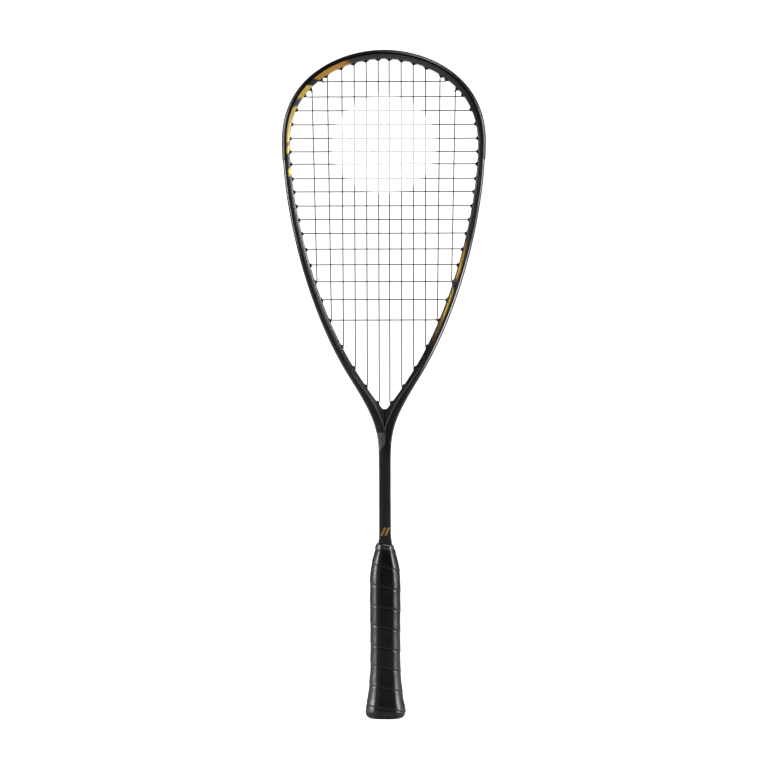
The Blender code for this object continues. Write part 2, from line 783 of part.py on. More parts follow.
make_frame(CARBON)
make_head_guard(GUARD)
make_grommet_strip("grommet_strip_left", -1, GUARD)
make_grommet_strip("grommet_strip_right", 1, GUARD)
make_main_string(STRING)
make_cross_string(STRING)
legs = bmesh.new()
leg_boxes(legs, STAPLE_CLEAR)
LEG_CUTTER = make_object("staple_leg_cutter", legs)
make_handle_foam(FOAM, LEG_CUTTER)
make_butt_cap(CAP, LEG_CUTTER)
make_staple("butt_cap_staple_left", -1, STEEL)
make_staple("butt_cap_staple_right", 1, STEEL)
make_grip(GRIP)
make_object("finishing_tape", sleeve(FINISH_OUTER, FINISH_INNER), FINISH)
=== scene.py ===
import math

import bmesh
import bpy
import numpy as np
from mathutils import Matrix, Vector, noise


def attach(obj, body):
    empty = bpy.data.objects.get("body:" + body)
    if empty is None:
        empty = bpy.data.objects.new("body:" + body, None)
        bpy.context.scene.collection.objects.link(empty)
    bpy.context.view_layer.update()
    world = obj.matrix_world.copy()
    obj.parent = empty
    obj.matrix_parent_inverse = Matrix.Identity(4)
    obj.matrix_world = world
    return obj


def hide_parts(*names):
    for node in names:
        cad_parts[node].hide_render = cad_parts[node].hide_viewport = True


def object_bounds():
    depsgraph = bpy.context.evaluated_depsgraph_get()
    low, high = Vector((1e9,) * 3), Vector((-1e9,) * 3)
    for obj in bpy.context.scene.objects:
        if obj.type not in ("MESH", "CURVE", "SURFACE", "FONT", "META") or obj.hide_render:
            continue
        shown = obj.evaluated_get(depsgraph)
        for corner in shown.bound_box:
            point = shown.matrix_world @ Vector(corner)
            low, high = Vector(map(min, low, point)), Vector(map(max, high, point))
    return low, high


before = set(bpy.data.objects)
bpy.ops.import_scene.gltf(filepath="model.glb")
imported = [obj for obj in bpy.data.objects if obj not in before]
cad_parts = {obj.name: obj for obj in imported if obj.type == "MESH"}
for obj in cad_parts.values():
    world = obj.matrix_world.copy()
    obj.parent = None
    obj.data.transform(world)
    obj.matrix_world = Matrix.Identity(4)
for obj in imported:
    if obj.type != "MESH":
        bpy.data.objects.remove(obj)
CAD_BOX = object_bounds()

MM = 0.001

# ---------------------------------------------------------------- outline, as in the CAD (mm)

HEAD_TOP = (0.0, 684.4)
HEAD_TOP_HANDLE = 43.5
HEAD_SIDE = (104.0, 591.6)
HEAD_SIDE_UP = 67.0
HEAD_SIDE_DOWN = 68.1
ARM = (36.1, 349.2)
ARM_LEAN = math.radians(32.05)
ARM_UP = 83.2
ARM_DOWN = 49.9
SHAFT_TOP = (6.15, 259.0)
SHAFT_HANDLE = 37.3
FLARE_TOP_Z = 189.0
FLARE_FOOT_Z = 176.0
HANDLE_SHAFT_HALF = 7.5
SHAFT_FOOT_Z = 8.0

RAIL_S = (0, 75, 140, 166, 215, 300, 395, 420, 437, 444, 450.5, 457, 463)
RAIL_WIDTH = (8.6, 9.2, 8.0, 7.4, 7.8, 8.6, 9.2, 9.5, 10.4, 11.6, 13.05, 14.5, 16.0)
WIDTH_EASE = 6.0
RIDGE_S = (0, 380, 424, 436, 450, 460, 470, 500)
RIDGE_IN = (3.9, 3.9, 5.7, 7.0, 8.0, 8.3, 9.1, 8.5)
SHAFT_BLEND_S = (455.0, 500.0)
HALF_DEPTH = 9.5
FACET_SLOPE = 0.80
GROOVE_DEPTH = 3.0
GROOVE_HALF = 3.4
GROOVE_END_S = (454.5, 461.0)
CROTCH_Z = 316.8
CROTCH_R = 5.0
CROTCH_EDGE_X = 3.96
GUARD_END_S = 175.0
RECESS = 0.9
RECESS_END_S = (175.3, 175.6)
STRIP_START_S = 176.0
STRIP_END_S = 453.0
STRIP_TOP = 1.9
STRIP_UNDER = 2.7
STRIP_HALF = 3.05
TUBE_PROUD = 1.8
LOW_PROUD = 1.2
LOW_PORT_S = (290.0, 304.0)
SHARED_ROWS = (14, 16)
LANE = 0.78

STRING_R = 0.56
WEAVE = 0.62
LOOP_IN = 1.0
LOOP_TRACK = 1.5
LOOP_LEAD = 3.2
BEND = 0.6
LOW_BEND = 0.4
MAIN_TOP_X = (5.6, 17.9, 30.3, 42.9, 57.8, 73.5)
MAIN_FOOT_X = (5.4, 17.6, 29.8, 42.0)
CROSS_Z = (
    652.7, 637.0, 622.8, 608.5, 594.3, 580.8, 568.1, 553.2, 539.7,
    525.2, 511.2, 497.1, 480.9, 464.9, 447.5, 429.1, 408.1,
)

GRIP_OUTER = (
    (2.3, 19.2, 17.0), (3.6, 20.1, 17.8), (6.7, 20.9, 18.5), (11.8, 20.3, 18.0),
    (20.0, 18.6, 16.6), (36.0, 16.7, 15.1), (52.0, 15.6, 14.1), (85.0, 15.4, 14.0),
    (115.0, 15.7, 14.1), (143.0, 15.6, 14.1), (151.0, 15.1, 13.9), (159.5, 13.7, 13.6),
    (167.7, 11.65, 13.2), (172.2, 10.3, 12.8),
)
HANDLE_QUARTER = ((1.0, 0.26), (0.78, 0.69), (0.50, 1.0))


def smooth(edge, value):
    t = min(max((value - edge[0]) / (edge[1] - edge[0]), 0.0), 1.0)
    return t * t * (3 - 2 * t)


def arc_points(knots, steps=900):
    a, b, c, d = (np.array(knot) for knot in knots)
    t = np.linspace(0.0, 1.0, steps)[:, None]
    return (1 - t) ** 3 * a + 3 * (1 - t) ** 2 * t * b + 3 * (1 - t) * t**2 * c + t**3 * d


def make_outline():
    """Distance, X and Z along the half outline, from the head's top to the shaft's foot."""
    down = np.array((-math.sin(ARM_LEAN), -math.cos(ARM_LEAN)))
    side = np.array(HEAD_SIDE)
    arm = np.array(ARM)
    shaft = np.array(SHAFT_TOP)
    head = arc_points((HEAD_TOP, (HEAD_TOP_HANDLE, HEAD_TOP[1]), side + (0, HEAD_SIDE_UP), side))
    flank = arc_points((side, side - (0, HEAD_SIDE_DOWN), arm - down * ARM_UP, arm))
    throat = arc_points((arm, arm + down * ARM_DOWN, shaft + (0, SHAFT_HANDLE), shaft))
    stem_z = np.linspace(SHAFT_TOP[1], SHAFT_FOOT_Z, 400)[1:]
    widen = np.array([smooth((FLARE_TOP_Z, FLARE_FOOT_Z), z) for z in stem_z])
    stem_x = SHAFT_TOP[0] + (HANDLE_SHAFT_HALF - SHAFT_TOP[0]) * widen
    stem = np.column_stack([stem_x, stem_z])
    points = np.vstack([head, flank[1:], throat[1:], stem])
    steps = np.linalg.norm(np.diff(points, axis=0), axis=1)
    return np.concatenate([[0.0], np.cumsum(steps)]), points[:, 0], points[:, 1]


OUT_S, OUT_X, OUT_Z = make_outline()
STEM_S = float(np.interp(-SHAFT_TOP[1], -OUT_Z, OUT_S))
FOOT_S = float(OUT_S[-1])


def rail_width(s):
    """Width of the rail, with the corners of its table eased."""
    reach = min(WIDTH_EASE, abs(s) + 1.0)
    samples = [float(np.interp(abs(s) + d, RAIL_S, RAIL_WIDTH)) for d in (-reach, 0.0, reach)]
    return (samples[0] + 2 * samples[1] + samples[2]) / 4


def outline_at(s):
    """Point and inward normal of the right half outline."""
    x = float(np.interp(s, OUT_S, OUT_X))
    z = float(np.interp(s, OUT_S, OUT_Z))
    if s >= STEM_S:
        return x, z, -1.0, 0.0
    step = 1.0
    s0 = max(s - step, 0.0)
    s1 = min(s + step, FOOT_S)
    dx = float(np.interp(s1, OUT_S, OUT_X) - np.interp(s0, OUT_S, OUT_X))
    dz = float(np.interp(s1, OUT_S, OUT_Z) - np.interp(s0, OUT_S, OUT_Z))
    if s < step:
        dz *= s / step
    size = math.hypot(dx, dz)
    return x, z, dz / size, -dx / size


def rail(s, inward, y):
    """A point of the rail. Negative s is the left half."""
    x, z, nx, nz = outline_at(abs(s))
    side = -1.0 if s < 0 else 1.0
    return Vector((side * (x + inward * nx), y, z + inward * nz)) * MM


def lift_crotch(x, z):
    """Height gained by the inner wall on the fillet where the arms meet."""
    if x >= CROTCH_EDGE_X:
        return 0.0
    reach = min(abs(x), CROTCH_EDGE_X)
    floor = CROTCH_Z + CROTCH_R - math.sqrt(CROTCH_R**2 - reach**2)
    fade = min(max(1 + x / CROTCH_EDGE_X, 0.0), 1.0)
    return fade * max(floor - z, 0.0)


# ---------------------------------------------------------------- mesh helpers

# A corner's curve takes at most this share of the side next to it.
CORNER_SHARE = 0.48
ON_PLANE = 3e-6
WELD = 4e-6


def loft(bm, rings, closed=True):
    for low, high in zip(rings, rings[1:]):
        count = len(low)
        for k in range(count if closed else count - 1):
            j = (k + 1) % count
            bm.faces.new((low[k], low[j], high[j], high[k]))


def ring_of(bm, points):
    return [bm.verts.new(point) for point in points]


def rounded(corners, steps=4):
    """Closed profile with each corner (a, b, radius) eased by a short curve."""
    points = []
    count = len(corners)
    for k, (a, b, radius) in enumerate(corners):
        here = Vector((a, b))
        back = Vector(corners[k - 1][:2]) - here
        ahead = Vector(corners[(k + 1) % count][:2]) - here
        reach = min(radius, back.length * CORNER_SHARE, ahead.length * CORNER_SHARE)
        start = here + back.normalized() * reach if back.length > 0 else here
        end = here + ahead.normalized() * reach if ahead.length > 0 else here
        for i in range(steps):
            t = i / (steps - 1)
            point = start * (1 - t) ** 2 + here * (2 * t * (1 - t)) + end * t**2
            points.append((point.x, point.y))
    return points


def finish_piece(name, bm, material, nodes, smooth_angle=40):
    bmesh.ops.recalc_face_normals(bm, faces=bm.faces[:])
    mesh = bpy.data.meshes.new(name)
    bm.to_mesh(mesh)
    bm.free()
    mesh.shade_smooth()
    mesh.set_sharp_from_angle(angle=math.radians(smooth_angle))
    mesh.materials.append(material)
    obj = bpy.data.objects.new(name, mesh)
    bpy.context.scene.collection.objects.link(obj)
    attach(obj, "root")
    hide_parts(*nodes)


def mirror_half(bm):
    """Keep X >= 0, then add its mirror image and weld the two on the centre plane."""
    geom = bm.verts[:] + bm.edges[:] + bm.faces[:]
    bmesh.ops.bisect_plane(
        bm, geom=geom, dist=1e-6, plane_co=(0, 0, 0), plane_no=(1, 0, 0), clear_inner=True
    )
    for vert in bm.verts:
        if abs(vert.co.x) < ON_PLANE:
            vert.co.x = 0.0
    copy = bmesh.ops.duplicate(bm, geom=bm.verts[:] + bm.edges[:] + bm.faces[:])["geom"]
    for item in copy:
        if isinstance(item, bmesh.types.BMVert):
            item.co.x = -item.co.x
    flipped = [item for item in copy if isinstance(item, bmesh.types.BMFace)]
    bmesh.ops.reverse_faces(bm, faces=flipped)
    bmesh.ops.remove_doubles(bm, verts=bm.verts[:], dist=WELD)


# ---------------------------------------------------------------- material helpers

NOISE_MIDDLE = (0.3, 0.7)


class Shader:
    """A Principled material and short calls for the nodes that feed it."""

    def __init__(self, name, **settings):
        self.material = bpy.data.materials.new(name)
        self.material.use_nodes = True
        self.tree = self.material.node_tree
        self.main = self.tree.nodes["Principled BSDF"]
        for key, value in settings.items():
            self.main.inputs[key.replace("_", " ")].default_value = value

    def put(self, socket, value):
        if isinstance(value, bpy.types.NodeSocket):
            self.tree.links.new(value, socket)
        else:
            socket.default_value = value

    def node(self, kind, settings=None, **inputs):
        node = self.tree.nodes.new(kind)
        for key, value in (settings or {}).items():
            setattr(node, key, value)
        for key, value in inputs.items():
            self.put(node.inputs[key.replace("_", " ")], value)
        return node

    def math(self, operation, a, b=0.0, c=0.0, clamp=False):
        node = self.node("ShaderNodeMath", {"operation": operation, "use_clamp": clamp})
        for socket, value in zip(node.inputs, (a, b, c)):
            self.put(socket, value)
        return node.outputs[0]

    def product(self, first, *others, clamp=False):
        for other in others[:-1]:
            first = self.math("MULTIPLY", first, other)
        return self.math("MULTIPLY", first, others[-1], clamp=clamp)

    def place(self):
        return self.node("ShaderNodeTexCoord").outputs["Object"]

    def split(self, vector):
        node = self.node("ShaderNodeSeparateXYZ", Vector=vector)
        return node.outputs["X"], node.outputs["Y"], node.outputs["Z"]

    def attribute(self, name):
        node = self.node("ShaderNodeAttribute", {"attribute_name": name})
        return node.outputs["Fac"]

    def noise(self, scale, detail=3.0, rough=0.5, stretch=None):
        vector = self.place()
        if stretch:
            mapping = self.node("ShaderNodeMapping", Vector=vector)
            mapping.inputs["Scale"].default_value = stretch
            vector = mapping.outputs["Vector"]
        node = self.node("ShaderNodeTexNoise", Vector=vector, Scale=scale, Detail=detail)
        node.inputs["Roughness"].default_value = rough
        return node.outputs["Fac"]

    def remap(self, value, low, high, to_low, to_high):
        node = self.node("ShaderNodeMapRange", Value=value)
        limits = {"From Min": low, "From Max": high, "To Min": to_low, "To Max": to_high}
        for key, number in limits.items():
            node.inputs[key].default_value = number
        return node.outputs["Result"]

    def spread(self, noise_value, low=0.0, high=1.0):
        """A noise value, which lies mostly in the middle of 0 to 1, spread over a range."""
        return self.remap(noise_value, *NOISE_MIDDLE, low, high)

    def band(self, value, low, high, soft):
        """1 between low and high, with soft edges."""
        rise = self.remap(value, low - soft, low + soft, 0.0, 1.0)
        fall = self.remap(value, high - soft, high + soft, 1.0, 0.0)
        return self.math("MULTIPLY", rise, fall)

    def mix(self, factor, a, b):
        node = self.node("ShaderNodeMix", {"data_type": "RGBA"})
        self.put(node.inputs[0], factor)
        self.put(node.inputs[6], a)
        self.put(node.inputs[7], b)
        return node.outputs[2]

    def ramp(self, factor, stops):
        node = self.node("ShaderNodeValToRGB", Fac=factor)
        elements = node.color_ramp.elements
        while len(elements) < len(stops):
            elements.new(0.5)
        for element, (position, colour) in zip(elements, stops):
            element.position = position
            element.color = colour
        return node.outputs["Color"], node.outputs["Alpha"]

    def bump(self, height, strength, distance):
        node = self.node("ShaderNodeBump", Height=height, Strength=strength, Distance=distance)
        return node.outputs["Normal"]

    def use(self, **outputs):
        for key, value in outputs.items():
            self.put(self.main.inputs[key.replace("_", " ")], value)
        return self.material


def channel(level):
    """Linear value of one 0-255 display value."""
    return ((level / 255 + 0.055) / 1.055) ** 2.4 if level > 10.3 else level / 255 / 12.92


def linear(red, green, blue):
    return (channel(red), channel(green), channel(blue), 1.0)


# ---------------------------------------------------------------- materials

BLACK = linear(16, 16, 17)
SOFT_BLACK = linear(10, 10, 11)
GREY_PATCH = linear(92, 92, 93)
# Painted highlight: the light grey lines along the throat's crests.
CREST_HIGHLIGHT_GREY = linear(120, 120, 121)
# Painted light: the lighter grey of the throat's inner facets, as if lit.
THROAT_PAINTED_LIGHT_GREY = linear(48, 48, 49)
# Painted highlight: the light line on the right rail's outer slope, in place of a softbox
# reflection.
PAINTED_HIGHLIGHT_SILVER = linear(226, 226, 232)
NONE = (0.0, 0.0, 0.0, 0.0)
AMBER = linear(218, 162, 44)
DEEP_AMBER = linear(202, 140, 38)
OLIVE = linear(235, 216, 86)
GOLD = linear(232, 192, 84)
PALE_GOLD = linear(196, 174, 104)
YELLOW = linear(206, 170, 62)
STREAK = linear(255, 210, 72)
PLUM = linear(78, 70, 84)
BRONZE = linear(172, 122, 56)
BROWN = linear(70, 40, 18)

# Colour blocks along the inner facet, by distance down the outline in millimetres.
LEFT_BLOCKS = (
    (0, NONE), (34, NONE), (42, DEEP_AMBER), (60, AMBER), (79, DEEP_AMBER), (79.6, NONE),
    (88, NONE), (88.6, OLIVE), (98, GOLD), (107, GOLD), (107.6, PLUM), (117, PLUM),
    (117.6, GOLD), (126, PALE_GOLD), (140, PALE_GOLD), (157.5, YELLOW), (158, PLUM),
    (160.5, PLUM), (161, YELLOW), (168.5, YELLOW), (169, NONE), (183.5, NONE),
    (184, YELLOW), (191.5, YELLOW), (192, NONE),
)
RIGHT_BLOCKS = (
    (0, NONE), (252, NONE), (268, BRONZE), (278, AMBER), (292, STREAK), (304, BRONZE),
    (306, NONE), (311, NONE), (314, GOLD), (326, STREAK), (341, GOLD), (350, BRONZE),
    (374, BROWN), (378, NONE),
)
BLOCK_SPAN = 500.0
BLOCK_SLANT = 0.9
BLOCK_MIDDLE_IN = 6.0
BLOCK_METAL = 0.2

# A band is (low, high, softness). Along and across the rail it is in millimetres.
FACET_FADE = (0.02, 0.08)
RIGHT_CORE_IN = (5.2, 7.0, 0.6)
# Painted highlight: a light line down the right rail's outer slope, standing in for a reflection
# of the right softbox.
PAINTED_HIGHLIGHT_IN = (1.5, 2.1, 0.3)
PAINTED_HIGHLIGHT_ALONG = (275.0, 390.0, 20.0)
# Painted highlight: light grey lines along the crests where the throat's arms meet, in place of
# light caught on the crest.
CREST_HIGHLIGHT_EDGE = (-0.025, 0.025, 0.012)
CREST_HIGHLIGHT_ALONG = (404.0, 474.0, 12.0)
# Painted light: the throat's inner facets are painted a lighter grey as if lit, left black along
# the centre valley.
THROAT_LIGHT_ALONG = (420.0, 470.0, 15.0)
THROAT_VALLEY_X = (0.0004, 0.0012)
POLISH_IN = (0.4, 2.4, 0.4)
POLISH_Z = (0.30, 0.34)
MATT_Z = (0.262, 0.28)
# What lies in front of this depth is the front of the frame.
FRONT_Y = -0.002

# Grey throat patches: heights, slope and foot of the lower edge, and the side they stay on.
THROAT_PATCHES = (
    ((0.268, 0.2925), 1.4, 0.2808, "LESS_THAN", 0.0006),
    ((0.2735, 0.2835), -1.5, 0.2905, "GREATER_THAN", 0.0015),
)
PATCH_SOFT = 0.0004

# Two slanted bars low on the shaft.
BAR_X = (-0.0018, 0.0022)
BAR_MIDDLE_Z = 0.1915
BAR_LEAN = 0.45
BAR_HALF = (0.0009, 0.0013)
BAR_Z = (0.1875, 0.1955, 0.0003)


def facet_blocks(shader, along, inward, blocks):
    """Colour and cover of the slanted blocks on one inner facet."""
    slanted = shader.math("MULTIPLY_ADD", inward, BLOCK_SLANT, along)
    shifted = shader.math("SUBTRACT", slanted, BLOCK_MIDDLE_IN * BLOCK_SLANT)
    place = shader.math("DIVIDE", shifted, BLOCK_SPAN)
    stops = [(distance / BLOCK_SPAN, colour) for distance, colour in blocks]
    return shader.ramp(place, stops)


def throat_patches(shader, x, z):
    patches = []
    for heights, slope, foot, side, limit in THROAT_PATCHES:
        lower = shader.math("MULTIPLY_ADD", x, slope, foot)
        above = shader.math("GREATER_THAN", z, lower)
        within = shader.band(z, *heights, PATCH_SOFT)
        patches.append(shader.product(within, above, shader.math(side, x, limit)))
    return shader.math("MAXIMUM", *patches)


def shaft_bars(shader, x, z):
    bars = []
    for centre in BAR_X:
        up = shader.math("SUBTRACT", z, BAR_MIDDLE_Z)
        middle = shader.math("MULTIPLY_ADD", up, BAR_LEAN, centre)
        aside = shader.math("ABSOLUTE", shader.math("SUBTRACT", x, middle))
        bars.append(shader.remap(aside, *BAR_HALF, 1.0, 0.0))
    return shader.product(shader.math("MAXIMUM", *bars), shader.band(z, *BAR_Z))


def paint_material():
    """Satin black carbon paint, with gold blocks on the inner facets and grey throat patches, plus
    painted light: a painted highlight line on the right rail, painted highlight lines on the
    throat's crests and a painted lit grey on the throat's inner facets.
    """
    shader = Shader(
        "satin_carbon_paint", Coat_Weight=0.4, Coat_Roughness=0.12, Specular_IOR_Level=0.35
    )
    along = shader.attribute("rail_s")
    inward = shader.attribute("rail_in")
    edge = shader.attribute("rail_edge")
    x, y, z = shader.split(shader.place())
    facet = shader.remap(edge, *FACET_FADE, 0.0, 1.0)
    left = shader.math("LESS_THAN", x, 0.0)
    right = shader.math("GREATER_THAN", x, 0.0)
    front = shader.math("LESS_THAN", y, FRONT_Y)
    base = shader.mix(shader.spread(shader.noise(60.0, 4.0)), SOFT_BLACK, BLACK)

    covers = []
    for side, blocks in ((left, LEFT_BLOCKS), (right, RIGHT_BLOCKS)):
        colour, cover = facet_blocks(shader, along, inward, blocks)
        if side is right:
            colour = shader.mix(shader.band(inward, *RIGHT_CORE_IN), BROWN, colour)
        streak = shader.noise(1.0, 3.0, 0.6, stretch=(900.0, 200.0, 90.0))
        worn = shader.remap(streak, 0.25, 0.45, 0.82, 1.0)
        cover = shader.product(cover, worn, facet, side, clamp=True)
        base = shader.mix(cover, base, colour)
        covers.append(cover)
    metal = shader.math("MULTIPLY", shader.math("MAXIMUM", *covers), BLOCK_METAL)

    # Painted highlight on the right rail's outer slope, in place of a softbox reflection.
    painted_highlight = shader.band(inward, *PAINTED_HIGHLIGHT_IN)
    painted_highlight = shader.product(painted_highlight, shader.band(along, *PAINTED_HIGHLIGHT_ALONG))
    cloud = shader.remap(shader.noise(420.0, 3.0), 0.3, 0.6, 0.55, 1.0)
    # Painted light on the throat's inner facets, kept off the centre valley.
    seam = shader.remap(shader.math("ABSOLUTE", x), *THROAT_VALLEY_X, 0.0, 1.0)
    throat = shader.product(facet, shader.band(along, *THROAT_LIGHT_ALONG), seam)
    # Painted highlight lines along the throat's crests.
    crest_highlight = shader.product(shader.band(edge, *CREST_HIGHLIGHT_EDGE), shader.band(along, *CREST_HIGHLIGHT_ALONG))
    for mark, colour in (
        (shader.product(painted_highlight, right), PAINTED_HIGHLIGHT_SILVER),
        (shader.product(throat_patches(shader, x, z), cloud), GREY_PATCH),
        (shaft_bars(shader, x, z), BRONZE),
        (throat, THROAT_PAINTED_LIGHT_GREY),
        (crest_highlight, CREST_HIGHLIGHT_GREY),
    ):
        base = shader.mix(shader.product(mark, front, clamp=True), base, colour)

    rough = shader.spread(shader.noise(35.0, 5.0, 0.65), 0.26, 0.34)
    polish = shader.product(shader.band(inward, *POLISH_IN), shader.remap(z, *POLISH_Z, 0.0, 0.12))
    rough = shader.math("SUBTRACT", rough, polish)
    rough = shader.math("ADD", rough, shader.remap(z, *MATT_Z, 0.24, 0.0))
    peel = shader.noise(900.0, 2.0)
    scratch = shader.noise(1.0, 2.0, 0.5, stretch=(2600.0, 2600.0, 160.0))
    height = shader.math("MULTIPLY_ADD", scratch, 0.35, peel)
    return shader.use(
        Base_Color=base, Roughness=rough, Metallic=metal, Normal=shader.bump(height, 0.12, 0.0003)
    )


# The head guard's scuffs grow over these heights.
SCUFF_Z = (0.655, 0.685)


def nylon_material(name, scuffed):
    """Moulded nylon with a fine spark-eroded grain. The head guard also has pale scuffs on top."""
    shader = Shader(name, Specular_IOR_Level=0.25)
    grain = shader.noise(2200.0, 2.0)
    cloud = shader.noise(45.0, 4.0)
    base = shader.mix(shader.spread(cloud), linear(9, 9, 10), linear(15, 15, 16))
    if scuffed:
        _, _, z = shader.split(shader.place())
        streaks = shader.noise(1.0, 4.0, 0.7, stretch=(160.0, 900.0, 500.0))
        scuff = shader.math("MULTIPLY", shader.remap(streaks, 0.6, 0.72, 0.0, 0.5),
                            shader.remap(z, *SCUFF_Z, 0.0, 1.0), clamp=True)
        base = shader.mix(scuff, base, linear(70, 70, 71))
    rough = shader.spread(cloud, 0.32, 0.42)
    return shader.use(Base_Color=base, Roughness=rough, Normal=shader.bump(grain, 0.25, 0.0002))


STENCIL_CENTRE_Z = 0.588
STENCIL_HALF = (0.053, 0.050)
STENCIL_EDGE = (0.97, 1.05)
# The white ink also glows: painted light that keeps it white.
INK_PAINTED_GLOW = 0.32


def string_material():
    """Twisted multifilament string with a plain oval stencil of white ink over the sweet spot; the
    ink also glows as painted light.
    """
    shader = Shader("multifilament_string", Coat_Weight=0.5, Coat_Roughness=0.1)
    x, _, z = shader.split(shader.place())
    wide = shader.math("DIVIDE", x, STENCIL_HALF[0])
    tall = shader.math("DIVIDE", shader.math("SUBTRACT", z, STENCIL_CENTRE_Z), STENCIL_HALF[1])
    radius = shader.math("SQRT", shader.math("ADD", shader.math("POWER", wide, 2.0),
                                             shader.math("POWER", tall, 2.0)))
    ink = shader.remap(radius, *STENCIL_EDGE, 1.0, 0.0)
    worn = shader.noise(900.0, 4.0, 0.7)
    ink = shader.math("MULTIPLY", ink, shader.remap(worn, 0.28, 0.42, 0.25, 1.0), clamp=True)
    fibre = shader.noise(1.0, 3.0, 0.6, stretch=(5200.0, 5200.0, 5200.0))
    dark = shader.mix(fibre, linear(30, 30, 32), linear(52, 52, 55))
    base = shader.mix(ink, dark, linear(228, 228, 228))
    rough = shader.spread(fibre, 0.3, 0.5)
    # Painted light: the ink glows so that it reads white.
    glow = shader.math("MULTIPLY", ink, INK_PAINTED_GLOW)
    shader.main.inputs["Emission Color"].default_value = (1.0, 1.0, 1.0, 1.0)
    return shader.use(
        Base_Color=base, Roughness=rough, Emission_Strength=glow,
        Normal=shader.bump(fibre, 0.3, 0.0001),
    )


def grip_material():
    """Soft polyurethane with a fine leather grain and creases, darker in the seams."""
    shader = Shader("black_polyurethane", Specular_IOR_Level=0.25)
    share = shader.attribute("wrap_share")
    grain = shader.node("ShaderNodeTexVoronoi", {"feature": "DISTANCE_TO_EDGE"},
                        Vector=shader.place(), Scale=1500.0).outputs["Distance"]
    cloud = shader.noise(70.0, 5.0, 0.6)
    base = shader.mix(shader.spread(cloud), linear(4, 4, 5), linear(7, 7, 7))
    seam = shader.remap(share, 0.93, 0.985, 0.0, 0.8)
    base = shader.mix(seam, base, linear(4, 4, 4))
    rough = shader.spread(cloud, 0.33, 0.41)
    creases = shader.noise(1.0, 4.0, 0.6, stretch=(420.0, 420.0, 120.0))
    height = shader.math("MULTIPLY_ADD", grain, 0.4, creases)
    return shader.use(Base_Color=base, Roughness=rough, Normal=shader.bump(height, 0.14, 0.0003))


def tape_material():
    shader = Shader("gloss_black_tape", Coat_Weight=0.15, Coat_Roughness=0.18)
    ripple = shader.noise(1.0, 3.0, 0.5, stretch=(150.0, 150.0, 700.0))
    base = shader.mix(ripple, linear(8, 8, 9), linear(14, 14, 15))
    rough = shader.spread(ripple, 0.32, 0.42)
    return shader.use(Base_Color=base, Roughness=rough, Normal=shader.bump(ripple, 0.35, 0.0004))


def cap_material():
    shader = Shader("moulded_cap_plastic")
    grain = shader.noise(1800.0, 2.0)
    cloud = shader.noise(80.0, 4.0)
    base = shader.mix(cloud, linear(14, 14, 15), linear(30, 30, 31))
    rough = shader.spread(cloud, 0.45, 0.6)
    return shader.use(Base_Color=base, Roughness=rough, Normal=shader.bump(grain, 0.3, 0.0002))


def foam_material():
    shader = Shader("moulded_foam")
    foam = shader.node("ShaderNodeTexVoronoi", Vector=shader.place(), Scale=1400.0)
    cell = foam.outputs["Distance"]
    base = shader.mix(cell, linear(120, 120, 122), linear(150, 150, 152))
    rough = shader.remap(cell, 0.0, 1.0, 0.75, 0.9)
    return shader.use(Base_Color=base, Roughness=rough, Normal=shader.bump(cell, 0.4, 0.0003))


def steel_material():
    shader = Shader("plated_wire", Metallic=1.0)
    draw = shader.noise(1.0, 2.0, 0.5, stretch=(4000.0, 300.0, 4000.0))
    base = shader.mix(draw, linear(170, 170, 172), linear(200, 200, 203))
    rough = shader.spread(draw, 0.25, 0.4)
    return shader.use(Base_Color=base, Roughness=rough, Normal=shader.bump(draw, 0.2, 0.0001))


PAINT = paint_material()
GUARD_NYLON = nylon_material("guard_nylon", True)
GROMMET_NYLON = nylon_material("grommet_nylon", False)
STRING = string_material()
GRIP = grip_material()
TAPE = tape_material()
CAP = cap_material()

for node_name, keep_material in (
    ("handle_foam", foam_material()),
    ("butt_cap_staple_left", steel_material()),
    ("butt_cap_staple_right", steel_material()),
):
    for kept_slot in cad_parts[node_name].material_slots:
        kept_slot.material = keep_material


# ---------------------------------------------------------------- frame shell

RIDGE_CORNER = 4
RIDGE_SHARPENS_S = (400.0, 430.0)
STEM_CORNERS = (
    (0.0, 1.3, 0.3), (0.0, 2.8, 0.3), (0.0, 6.4, 0.8), (0.15, 8.9, 0.9), (8.5, 9.9, 1.0),
    (14.0, 9.0, 1.0), (17.0, 4.0, 1.0),
)
HOOP_STEP = 2.5
# Heights of the shaft's sections below the throat, down to where it widens.
SHAFT_Z = (240.0, 215.0, 192.0)


def rail_corners(s):
    """Corners (inward, depth, rounding) of half the rail's section, from the groove in."""
    width = rail_width(s)
    ridge = float(np.interp(s, RIDGE_S, RIDGE_IN))
    groove = GROOVE_DEPTH * (1 - smooth(GROOVE_END_S, s))
    recess = RECESS * (1 - smooth(RECESS_END_S, s))
    share = recess / RECESS
    wall = HALF_DEPTH - (width - 0.5 - ridge) * FACET_SLOPE
    hoop = (
        (max(groove, recess), GROOVE_HALF, 0.5),
        (recess, GROOVE_HALF + 0.2, 0.35),
        (recess, 4.6, 1.0),
        (1.2 + 1.1 * share, 8.2 - 1.1 * share, 1.2 - 0.6 * share),
        (ridge, HALF_DEPTH, 0.8 - 0.4 * smooth(RIDGE_SHARPENS_S, s)),
        (width - 0.5, wall, 0.6),
        (width, wall - 1.2, 0.7),
    )
    blend = smooth(SHAFT_BLEND_S, s)
    return [
        tuple(a + (b - a) * blend for a, b in zip(one, other))
        for one, other in zip(hoop, STEM_CORNERS)
    ]


